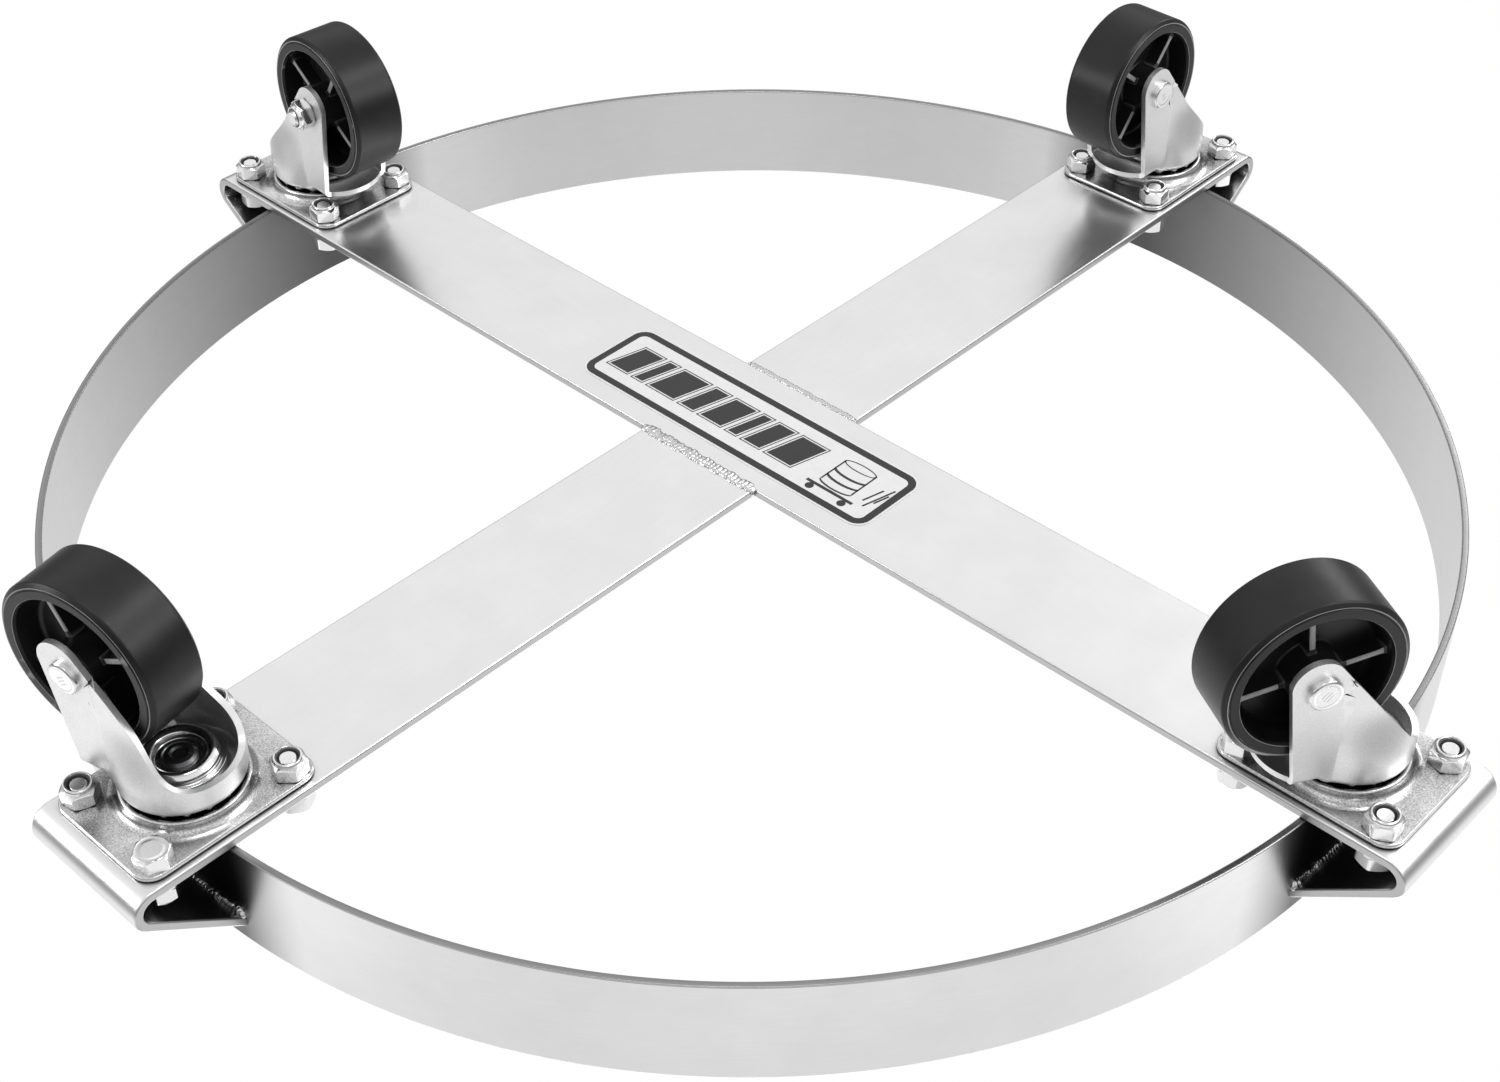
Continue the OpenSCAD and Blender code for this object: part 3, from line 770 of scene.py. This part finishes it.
def caster_plate(side):
    # Radius and height from the pin's hole outwards: groove of the balls, lip, slope down to the flat
    boss = [
        (5, 6.0), (12, 6.0), (16.0, 6.0), (16.8, 5.75), (17.8, 5.5), (19.0, 5.4), (20.2, 5.5),
        (21.2, 5.8), (21.9, 6.3), (22.3, 6.9), (22.6, 7.3), (23.0, 7.5), (23.6, 7.55), (24.1, 7.4),
        (24.45, 7.05), (24.6, 6.5), (24.7, 5.9), (24.95, 5.2), (25.4, 4.4), (26.0, 3.7), (26.8, 3.1),
        (27.7, 2.7), (28.6, 2.54), (29.0, 2.5),
    ]
    steps = 240
    rows = []
    for k in range(steps + 1):
        degrees = 360 * k / steps
        c, s = polar(1, degrees)
        radii = list(boss)
        for inset, z in ((0.75, PLATE_T), (0.35, PLATE_T - 0.10), (0.1, PLATE_T - 0.35), (0, PLATE_T - 0.75),
                         (0, 0.95), (0.35, 0.45), (1.2, 0.3), (1.6, 0)):
            radii.append((plate_edge(degrees, inset), z))
        radii += [(26, 0), (23.2, 2.6), (21, 3.5), (5, 3.5), (5, 6.0)]
        rows.append([(r * c, r * s, z) for r, z in radii])
    shape = Shape()
    shape.grid(rows, fixed_space(side))
    shape.piece("plate_pressed_" + side, "frame", "zinc_plate", [ZINC_PLATE], ["plate_" + side], 40)


# ---- fasteners ----

def hex_reach(degrees):
    """Radius of the hexagon in a direction, its corners slightly rounded."""
    swing = (degrees + 30) % 60 - 30
    flat = HEX_AF / 2 / math.cos(math.radians(swing))
    corner = HEX_AF / 2 / math.cos(math.radians(30)) * 0.985
    power = 60
    return (flat ** -power + corner ** -power) ** (-1 / power)


def hexagon(shape, height, space, top_flat, foot_flat, slope, cap):
    """Hexagonal prism from z = 0, with a chamfer under its cap, and one on its foot if foot_flat is given."""
    steps = 96
    rows = []
    for k in range(steps):
        degrees = 360 * k / steps
        c, s = polar(1, degrees)
        reach = hex_reach(degrees)
        profile = [(0, 0)]
        if foot_flat:
            profile += [(foot_flat, 0), (reach, (reach - foot_flat) * slope)]
        else:
            profile += [(reach, 0)]
        drop = (reach - top_flat) * slope
        profile += [
            (reach, height - drop - 0.12), (reach - 0.10, height - drop), (top_flat + 0.1, height - 0.04),
        ]
        rows.append([(r * c, r * s, z) for r, z in profile + cap])
    rows.append(rows[0])
    shape.grid(rows, space)


def thread(shape, low, high, space):
    """End of a bolt with a helical thread from z = low to its chamfered tip at z = high."""
    radius, core = BOLT_R - 0.06, 3.35
    around, per_pitch = 48, 8
    count = int((high - low) / THREAD_PITCH * per_pitch)
    rows = []
    for i in range(count + 1):
        z = mix(low, high, i / count)
        limit = min(radius, core - 0.3 + (high - z) * 1.2)
        row = []
        for k in range(around):
            wave = (z / THREAD_PITCH + k / around) % 1.0
            tooth = 1 - abs(wave * 2 - 1)
            depth = mix(core, radius, smooth(0.1, 0.85, tooth))
            row.append((*polar(min(limit, depth), 360 * k / around), z))
        rows.append(row)
    shape.tube(rows, space)


def lock_nut(shape, space):
    """Hexagon with a domed collar that holds a nylon ring; material 1 is the nylon."""
    top = NUT_H - 1.8
    collar = [
        (6.0, top + 0.05), (5.78, top + 0.2), (5.72, top + 0.9), (5.6, top + 1.35), (5.3, top + 1.68),
        (4.95, top + 1.79), (4.72, top + 1.72), (4.60, top + 1.5), (4.58, top + 1.2), (4.58, top + 0.6),
        (4.58, 0.5), (0, 0.5),
    ]
    hexagon(shape, top, space, 6.1, 6.1, 0.55, collar)
    nylon = [(4.7, top + 0.2), (4.66, top + 1.15), (4.4, top + 1.25), (4.12, top + 1.15), (4.02, top + 0.7),
             (4.02, top - 1.5), (4.7, top - 1.5), (4.7, top + 0.2)]
    shape.revolve(nylon, 48, space, 1)


# Plain collar under a head or nut on the drum's side
COLLAR_PROFILE = fillet([
    (BOLT_R, 0, 0), (COLLAR_R, 0, 0.3), (COLLAR_R, COLLAR_T, 0.3), (BOLT_R, COLLAR_T, 0),
], 3)


def fasteners(side):
    chance = random.Random("bolts of " + side)
    bolts, nuts = Shape(), Shape()
    for k, (along, across) in enumerate(CORNERS):
        spot = Matrix.Translation((along * BOLT_ALONG / 2, across * BOLT_ACROSS / 2, 0))
        down = k in HEAD_DOWN.get(side, ())
        turn = [Matrix.Rotation(chance.uniform(0, math.pi / 3), 4, "Z") for _ in range(2)]
        top = fixed_space(side) @ spot @ lifted(PLATE_T)
        bottom = fixed_space(side) @ spot @ lifted(-BAR_T) @ FLIP
        collar = nuts if down else bolts
        collar.revolve(COLLAR_PROFILE, 64, bottom)
        raised = bottom @ lifted(COLLAR_T)
        head, foot = (top, raised) if down else (raised, top)
        grip = BAR_T + PLATE_T + COLLAR_T
        hexagon(bolts, HEAD_H, head @ turn[0], 6.0, None, 0.5, domed_cap(HEAD_H, 6.0))
        thread(bolts, -grip, 7.0, foot @ turn[1])
        lock_nut(nuts, foot @ turn[1])
    bolts.piece("bolts_hex_" + side, "frame", "zinc_fastener", [ZINC_BOLT], ["plate_bolts_" + side], 28)
    nuts.piece("nuts_lock_" + side, "frame", "zinc_fastener", [ZINC_BOLT, NYLON], ["plate_nuts_" + side], 28)


def domed_cap(height, flat):
    """Top of a forged bolt head: a shallow dish inside a faint rim."""
    return [(flat - 0.3, height), (flat - 1.2, height - 0.03), (flat - 1.7, height - 0.16),
            (flat - 2.3, height - 0.22), (0, height - 0.22)]


def axle(side):
    """Bolt with a low round head and three stamped strokes, and its lock nut on the far leg."""
    chance = random.Random("axle of " + side)
    turn = Matrix.Rotation(chance.uniform(0, math.pi / 3), 4, "Z")
    head = Shape()
    high = AXLE_HEAD_H
    face = axle_space(side) @ lifted(LEG_Y) @ turn
    head.revolve(fillet([
        (0, 0, 0), (AXLE_HEAD_R, 0, 0), (AXLE_HEAD_R, high - 0.5, 0.3), (AXLE_HEAD_R - 0.7, high - 0.05, 0.5),
        (AXLE_HEAD_R - 1.6, high, 0.5), (AXLE_HEAD_R - 2.2, high - 0.12, 0.5), (0, high - 0.12, 0),
    ], 4), 96, face)
    foot = high - 0.15
    for level in (-1.3, 0.2, 1.7):
        half = 2.6 - 0.35 * abs(level)
        stamped = line_points(Vector((-half, level, foot)), Vector((half, level + 0.5, foot)), 0.4)
        bead(head, [face @ p for p in stamped], face.to_3x3() @ UP, (0.5, 0.13, 9), 2, 0.1)
    nut_end = axle_space(side) @ lifted(-LEG_Y) @ FLIP
    thread(head, -2 * LEG_Y, NUT_H + 1, nut_end @ turn)
    head.piece("axle_bolt_round_" + side, "fork_" + side, "zinc_fastener", [ZINC_BOLT],
               ["axle_bolt_" + side], 28)
    nut = Shape()
    lock_nut(nut, nut_end @ turn)
    nut.piece("axle_nut_lock_" + side, "fork_" + side, "zinc_fastener", [ZINC_BOLT, NYLON],
              ["axle_nut_" + side], 28)


# ---- king pin and inner race ----

PIN_R, PIN_HEAD_R, PIN_HEAD_Z = 5, 8, 3.5
RIVET_R, RIVET_Z = 6.8, 17
CUP_Z, CUP_R, CUP_IN_R, FLANGE_R = 15.3, 15, 13.8, 17


def king_pin(side):
    """The pin with its riveted end, and the flanged cup that it holds."""
    pin = Shape()
    pin.revolve(fillet([
        (0, 1.0, 0), (PIN_HEAD_R, 1.0, 0.5), (PIN_HEAD_R, PIN_HEAD_Z, 0.5), (PIN_R, PIN_HEAD_Z, 0),
        (PIN_R, RIVET_Z, 0), (RIVET_R, RIVET_Z, 0.2), (RIVET_R, RIVET_Z + 0.7, 0.5),
        (5.5, 18.7, 0.8), (3.6, 18.9, 0.4), (2.6, 18.3, 0.5), (0, 18.2, 0),
    ], 4), 64, fixed_space(side))
    pin.piece("pin_riveted_" + side, "frame", "pin_steel", [DARK_PIN], ["king_pin_" + side])
    cup = Shape()
    cup.revolve(fillet([
        (9.0, CUP_Z, 0), (10.2, CUP_Z, 0.2), (10.2, 18.6, 0.8), (12.2, 19.2, 0.8), (CUP_IN_R, 18.4, 0.8),
        (CUP_IN_R, CUP_Z, 0.2), (FLANGE_R, CUP_Z, 0.3), (FLANGE_R, 16.5, 0.4), (CUP_R, 16.5, 0.6),
        (CUP_R, 18.6, 1.4), (12.6, 20.9, 2.2), (10.0, 19.4, 1.2), (9.0, RIVET_Z, 0.6),
        (PIN_R, RIVET_Z, 0.2), (PIN_R, CUP_Z, 0.2), (9.01, CUP_Z, 0),
    ], 5), 96, fixed_space(side), loop=True)
    cup.piece("cup_pressed_" + side, "frame", "zinc_yoke", [ZINC_CUP], ["race_cup_" + side])


# ---- yoke: the outer face as one sheet, given its thickness afterwards ----

YOKE_Z, YOKE_T, RACE_DEPTH = 12, 2.5, 3
SKIRT_R, BEND, LEG_X, LIP_X = 24, 3.4, 32, 38
EAR_R = 10.2
EAR_X, EAR_Z = TRAIL + 2.5, AXLE_Z + 3.6
BACK_EDGE = (
    (-24, 20), (-20, 20.4), (-17, 21.6), (-13, 25.4), (-7.5, 32.0), (0.4, 41.4), (8, 51.0), (15, 59.9),
)


def base_level(r):
    """Outer face of the yoke's base: a raceway pressed towards the plate round the king pin."""
    return YOKE_Z - RACE_DEPTH * (smooth(13.8, 16.6, r) - smooth(22.4, 26.5, r))


def front_reach(degrees):
    """Distance to the front lip's curved edge."""
    inset = LEG_Y - BEND
    centre = (LIP_X ** 2 - LEG_X ** 2 - inset ** 2) / (2 * (LIP_X - LEG_X))
    radius = LIP_X - centre
    c, s = polar(centre, degrees)
    return c + math.sqrt(radius * radius - s * s)


def wall_foot(degrees):
    """Inner end of the bend in a direction, and the way the bend faces there."""
    c, s = polar(1, degrees)
    round_part, leg_part = SKIRT_R - BEND, (LEG_Y - BEND) / max(s, 1e-3)
    if degrees > 90:
        leg_part = 0
    power = 14
    reach = (round_part ** power + leg_part ** power) ** (1 / power)
    facing = Vector((0, 1)).lerp(Vector((c, s)), smooth(38, 56, degrees)).normalized()
    return Vector((reach * c, reach * s)), facing, reach


def back_edge(x):
    for (x0, z0), (x1, z1) in zip(BACK_EDGE, BACK_EDGE[1:]):
        if x <= x1:
            return mix(z0, z1, (x - x0) / (x1 - x0))
    return BACK_EDGE[-1][1]


def softened(values):
    """Values with their kinks eased, ends kept."""
    rounds = 3
    for _ in range(rounds):
        inner = [(a + 2 * b + c) / 4 for a, b, c in zip(values, values[1:], values[2:])]
        values = values[:1] + inner + values[-1:]
    return values


def yoke_columns():
    """(direction, top x, top z) of each wall column, from the leg's front edge to the back."""
    inset = LEG_Y - BEND
    leg_count, round_count = 40, 46
    ear_end, ear_count = 142, 33
    arc = [polar(EAR_R, ear_end * k / ear_count) for k in range(ear_count + 1)]
    tops = [(EAR_X + c, EAR_Z + s) for c, s in arc]
    (ear_x, ear_z), (low_x, low_z) = tops[-1], BACK_EDGE[-1]
    straight = leg_count - ear_count
    tops += [(mix(ear_x, low_x, k / straight), mix(ear_z, low_z, k / straight)) for k in range(1, straight)]
    columns = []
    for k, (top_x, top_z) in enumerate(tops):
        degrees = math.degrees(math.atan2(inset, mix(LEG_X, inset, k / leg_count)))
        columns.append((degrees, top_x, top_z))
    tops = []
    for k in range(round_count + 1):
        degrees = mix(45, 180, k / round_count)
        foot, facing, _ = wall_foot(degrees)
        x = foot.x + facing.x * BEND
        tops.append((degrees, x, back_edge(x)))
    heights = softened([t[2] for t in tops])
    return columns + [(d, x, z) for (d, x, _), z in zip(tops, heights)]


def yoke_half():
    """Rows of the sheet's half with y >= 0: first the front lip's columns, then the walls' columns."""
    radii = [5.4, 8, 11, 13.4, 14.2, 15.0, 15.8, 16.6, 18.2, 20.0]
    lip_count, rim_steps, bend_steps, rise = 14, 6, 6, 18
    columns = yoke_columns()
    front = columns[0][0]
    lip = [front * k / lip_count for k in range(lip_count)]
    base = []
    for degrees in lip + [c[0] for c in columns]:
        reach = front_reach(degrees) if degrees < front else wall_foot(degrees)[2]
        steps = radii + [mix(radii[-1], reach, k / rim_steps) for k in range(1, rim_steps + 1)]
        base.append([Vector((*polar(r, degrees), base_level(r))) for r in steps])
    walls = []
    for index, (degrees, top_x, top_z) in enumerate(columns):
        foot, facing, reach = wall_foot(degrees)
        level = base_level(reach)
        column = [base[len(lip) + index][-1]]
        for k in range(1, bend_steps + 1):
            c, s = polar(BEND, 90 / bend_steps * k)
            column.append(Vector((foot.x + facing.x * s, foot.y + facing.y * s, level + BEND - c)))
        start = column[-1]
        for k in range(1, rise + 1):
            share = k / rise
            x, z = mix(start.x, top_x, share), mix(start.z, top_z, share)
            bulge = max(0.0, start.y - LEG_Y)
            y = start.y - bulge * smooth(17, 44, z)
            column.append(Vector((x, y, z)))
        walls.append(column)
    return base, walls


def thicken(obj):
    """Gives the sheet its thickness towards the wheel, and rounds the cut edges."""
    sheet = obj.modifiers.new("thickness", "SOLIDIFY")
    sheet.thickness = YOKE_T * MM
    sheet.offset = -1
    sheet.use_even_offset = False
    rounding = obj.modifiers.new("cut edges", "BEVEL")
    rounding.width = 0.4 * MM
    rounding.segments = 3
    rounding.limit_method = "ANGLE"
    rounding.angle_limit = math.radians(50)


def yoke(side):
    base, walls = yoke_half()
    shape = Shape()
    space = swivel_space(side)
    for sign in (1, -1):
        for part in (base, walls):
            rows = [[(p.x, sign * p.y, p.z) for p in row] for row in part]
            shape.grid(rows, space, flip=(sign < 0))

    def finish(obj):
        """The sheet's normals have to point away from the wheel."""
        down = space.to_3x3() @ Vector((0, 0, -1))
        pin = space.translation * MM
        near = min(obj.data.polygons, key=lambda p: (p.center - pin).length)
        if near.normal.dot(down) < 0:
            obj.data.flip_normals()
        thicken(obj)

    shape.piece("yoke_pressed_" + side, "fork_" + side, "zinc_yoke", [ZINC_YOKE], ["yoke_" + side],
                38, finish)


# ---- wheels ----

BORE_R = 6.05
WHEEL_STEPS = 168
RIBS = 4
RIB_IN, RIB_OUT, RIB_STEPS = 9.8, 28.7, 12


def highlit_ridge(a, b):
    """True on the narrow ridges of a face that get the lighter plastic as painted highlight."""
    radius, level = (a[0] + b[0]) / 2, abs(a[1] + b[1]) / 2
    outer_ridge = 33.55 < radius < 34.05 and level > WHEEL_HALF - 0.4
    inner_ridge = 29.2 < radius < 29.6 and level > WHEEL_HALF - 0.35
    return outer_ridge or inner_ridge


def wheel(side):
    """One moulded wheel: tread, two recessed faces with ribs on the web between hub and rim."""
    half = [
        (BORE_R, HUB_HALF, 0.3), (10.3, HUB_HALF, 0.6), (10.6, 2.6, 1.2), (27.1, 2.2, 2.2),
        (28.8, 12.1, 0.5), (29.5, WHEEL_HALF, 0.4), (32.9, WHEEL_HALF, 0.2), (33.1, WHEEL_HALF - 0.45, 0.15),
        (33.5, WHEEL_HALF - 0.45, 0.15), (33.8, WHEEL_HALF - 0.1, 0.3), (WHEEL_R, 11.9, 1.2),
    ]
    mirrored = [(r, -y, radius) for r, y, radius in half]
    tread = [(WHEEL_R, 4, 0), (WHEEL_R, -4, 0)]
    corners = [(BORE_R, 0, 0)] + half + tread + mirrored[::-1] + [(BORE_R, -0.01, 0)]
    space = axle_space(side) @ turned(RIB_TURN[side])
    shape = Shape()
    profile = fillet(corners, 5)
    shape.revolve(profile, WHEEL_STEPS, space, loop=True)
    # The face's narrow ridges take the lighter plastic as painted highlight
    shine = [highlit_ridge(a, b) for a, b in zip(profile, profile[1:] + profile[:1])]
    shape.slots = [int(shine[k % len(profile)]) for k in range(len(shape.slots))]
    for k in range(RIBS):
        spoke = space @ turned(360 / RIBS * k)
        section = fillet([(0, -9.2, 0), (1.1, -9.2, 0.5), (1.25, 0, 0), (1.1, 9.2, 0.5), (-1.1, 9.2, 0.5),
                          (-1.25, 0, 0), (-1.1, -9.2, 0.5), (-0.01, -9.2, 0)], 3)
        rows = []
        for step in range(RIB_STEPS + 1):
            x = mix(RIB_IN, RIB_OUT, step / RIB_STEPS)
            flare = 1 + 0.9 * (1 - smooth(RIB_IN, 12.5, x)) + 0.9 * smooth(26.0, RIB_OUT, x)
            rows.append([(x, y * flare, z) for y, z in section])
        first = len(shape.slots)
        shape.tube(rows, spoke)
        # Rib tops take the lighter plastic as painted highlight
        for number, (a, b) in enumerate(zip(section, section[1:] + section[:1])):
            on_ridge = min(abs(a[1]), abs(b[1])) > 8.65
            if on_ridge:
                for step in range(2, len(rows) - 2):
                    shape.slots[first + step * len(section) + number] = 1
    shape.piece("wheel_moulded_" + side, "roller_" + side, "wheel_plastic", [BLACK_WHEEL, RIDGE_HIGHLIGHT],
                ["wheel_" + side], 32)


# ---- build everything ----

ring_strip()
bars()
welds()
label()
for side in ARM_TURN:
    caster_plate(side)
    fasteners(side)
    king_pin(side)
    yoke(side)
    axle(side)
    wheel(side)
    for balls in ("main_balls_", "inner_balls_"):
        frame["nodes"][balls + side].material_slots[0].material = BALL_STEEL
    frame["nodes"]["axle_sleeve_" + side].material_slots[0].material = DARK_PIN


# ---- studio ----

def floor():
    """Pale floor that fades out with distance, and that a camera below it sees through."""
    size = 9.0
    fade_start, fade_end = 0.8, 4.5
    mesh = bpy.data.meshes.new("floor")
    corners = [(-size, -size, 0), (size, -size, 0), (size, size, 0), (-size, size, 0)]
    mesh.from_pydata(corners, [], [(0, 1, 2, 3)])
    obj = new_object("floor", mesh)
    n = Nodes("pale_floor")
    n.shader.inputs["Base Color"].default_value = (0.86, 0.86, 0.86, 1)
    n.shader.inputs["Roughness"].default_value = 0.7
    clear = n.add("ShaderNodeBsdfTransparent")
    choice = n.add("ShaderNodeMixShader")
    distance = n.add("ShaderNodeVectorMath", operation="LENGTH")
    n.link(n.position, distance, 0)
    fade = n.ramp(distance.outputs["Value"], fade_start, fade_end)
    below = n.add("ShaderNodeNewGeometry").outputs["Backfacing"]
    n.link(n.math("MAXIMUM", below, fade), choice, 0)
    n.link(n.shader.outputs[0], choice, 1)
    n.link(clear.outputs[0], choice, 2)
    n.link(choice.outputs[0], n.tree.nodes["Material Output"], "Surface")
    mesh.materials.append(n.material)
    obj.visible_diffuse = False
    obj.visible_glossy = False
    obj.visible_transmission = False
    obj.visible_shadow = False


def area_light(name, place, target, size, power):
    data = bpy.data.lights.new(name, "AREA")
    data.shape = "RECTANGLE"
    data.size, data.size_y = size
    data.energy = power
    obj = new_object(name, data)
    obj.location = place
    obj.rotation_mode = "QUATERNION"
    obj.rotation_quaternion = (Vector(target) - Vector(place)).to_track_quat("-Z", "Y")
    obj.visible_camera = False


# Brightness of the surroundings from straight below (0) over the horizon (0.5) to straight above (1)
SKY = (
    (0.0, 0.45), (0.08, 0.80), (0.17, 1.0), (0.27, 0.95), (0.38, 0.40), (0.50, 0.16), (0.62, 0.42),
    (0.74, 0.88), (0.86, 0.95), (0.95, 0.75), (1.0, 0.5),
)


def surroundings():
    """White to the camera; for light and reflections bright above and below, dark round the horizon."""
    world = bpy.data.worlds.new("studio")
    bpy.context.scene.world = world
    world.use_nodes = True
    tree = world.node_tree
    tree.nodes.clear()

    def link(a, node, socket):
        tree.links.new(a, node.inputs[socket])

    direction = tree.nodes.new("ShaderNodeTexCoord").outputs["Generated"]
    split = tree.nodes.new("ShaderNodeSeparateXYZ")
    link(direction, split, 0)
    levels = tree.nodes.new("ShaderNodeValToRGB")
    height = tree.nodes.new("ShaderNodeMapRange")
    link(split.outputs["Z"], height, "Value")
    height.inputs["From Min"].default_value = -1
    link(height.outputs[0], levels, 0)
    ramp = levels.color_ramp
    while len(ramp.elements) < len(SKY):
        ramp.elements.new(0.5)
    for element, (place, grey) in zip(ramp.elements, SKY):
        element.position = place
        element.color = (grey, grey, grey, 1)
    around = tree.nodes.new("ShaderNodeBackground")
    link(levels.outputs[0], around, "Color")
    seen = tree.nodes.new("ShaderNodeBackground")
    seen.inputs["Color"].default_value = (1, 1, 1, 1)
    choice = tree.nodes.new("ShaderNodeMixShader")
    link(tree.nodes.new("ShaderNodeLightPath").outputs["Is Camera Ray"], choice, 0)
    link(around.outputs[0], choice, 1)
    link(seen.outputs[0], choice, 2)
    link(choice.outputs[0], tree.nodes.new("ShaderNodeOutputWorld"), "Surface")


def camera():
    """View from below with the floor side up, since the dolly was photographed upside down."""
    place = Vector((539.6, 565.7, -500.1)) * MM
    target = Vector((51.4, 55.0, 98.0)) * MM
    roll = math.radians(-0.56)
    forward = (target - place).normalized()
    right = forward.cross(-UP).normalized()
    up = right.cross(forward)
    c, s = math.cos(roll), math.sin(roll)
    right, up = c * right + s * up, c * up - s * right
    data = bpy.data.cameras.new("camera")
    data.lens = 53.38
    data.sensor_width = 36
    data.clip_start, data.clip_end = 0.01, 50
    obj = new_object("camera", data)
    obj.matrix_world = Matrix.Translation(place) @ Matrix((right, up, -forward)).transposed().to_4x4()
    bpy.context.scene.camera = obj


# Lights: name, place, target, size in metres, power in watts
LIGHTS = (
    ("key_below", (0.0, 0.1, -1.7), (0, 0, 0.08), (0.6, 0.4), 4.5),
    ("fill_below", (1.2, -0.9, -1.2), (0, 0, 0.08), (0.9, 0.9), 2.5),
    ("key_above", (-0.2, -0.3, 2.3), (0, 0, 0.08), (1.8, 1.4), 14),
    ("front_above", (0.95, 0.92, 0.85), (0.2, 0.2, 0.1), (0.9, 0.5), 0.25),
    ("right_above", (1.1, -0.4, 0.85), (0.3, 0.0, 0.1), (0.6, 0.4), 0.3),
    ("left_above", (-0.4, 1.1, 0.85), (0.0, 0.3, 0.1), (0.6, 0.4), 0.25),
    ("tread_rear", (0.53, -0.54, -1.13), (0.0, 0.29, 0.0), (0.4, 0.35), 3.0),
    ("tread_right", (0.0, -1.33, -0.57), (0.287, 0.02, 0.0), (0.5, 0.3), 2.0),
    ("tread_left", (1.1, -0.6, -0.62), (-0.25, 0.0, 0.02), (0.45, 0.35), 3.0),
    ("tread_front", (-0.8, 1.1, -0.35), (0.0, -0.24, 0.02), (0.45, 0.35), 4.0),
)

floor()
surroundings()
for light in LIGHTS:
    area_light(*light)
camera()
bpy.context.scene.view_settings.view_transform = "Standard"
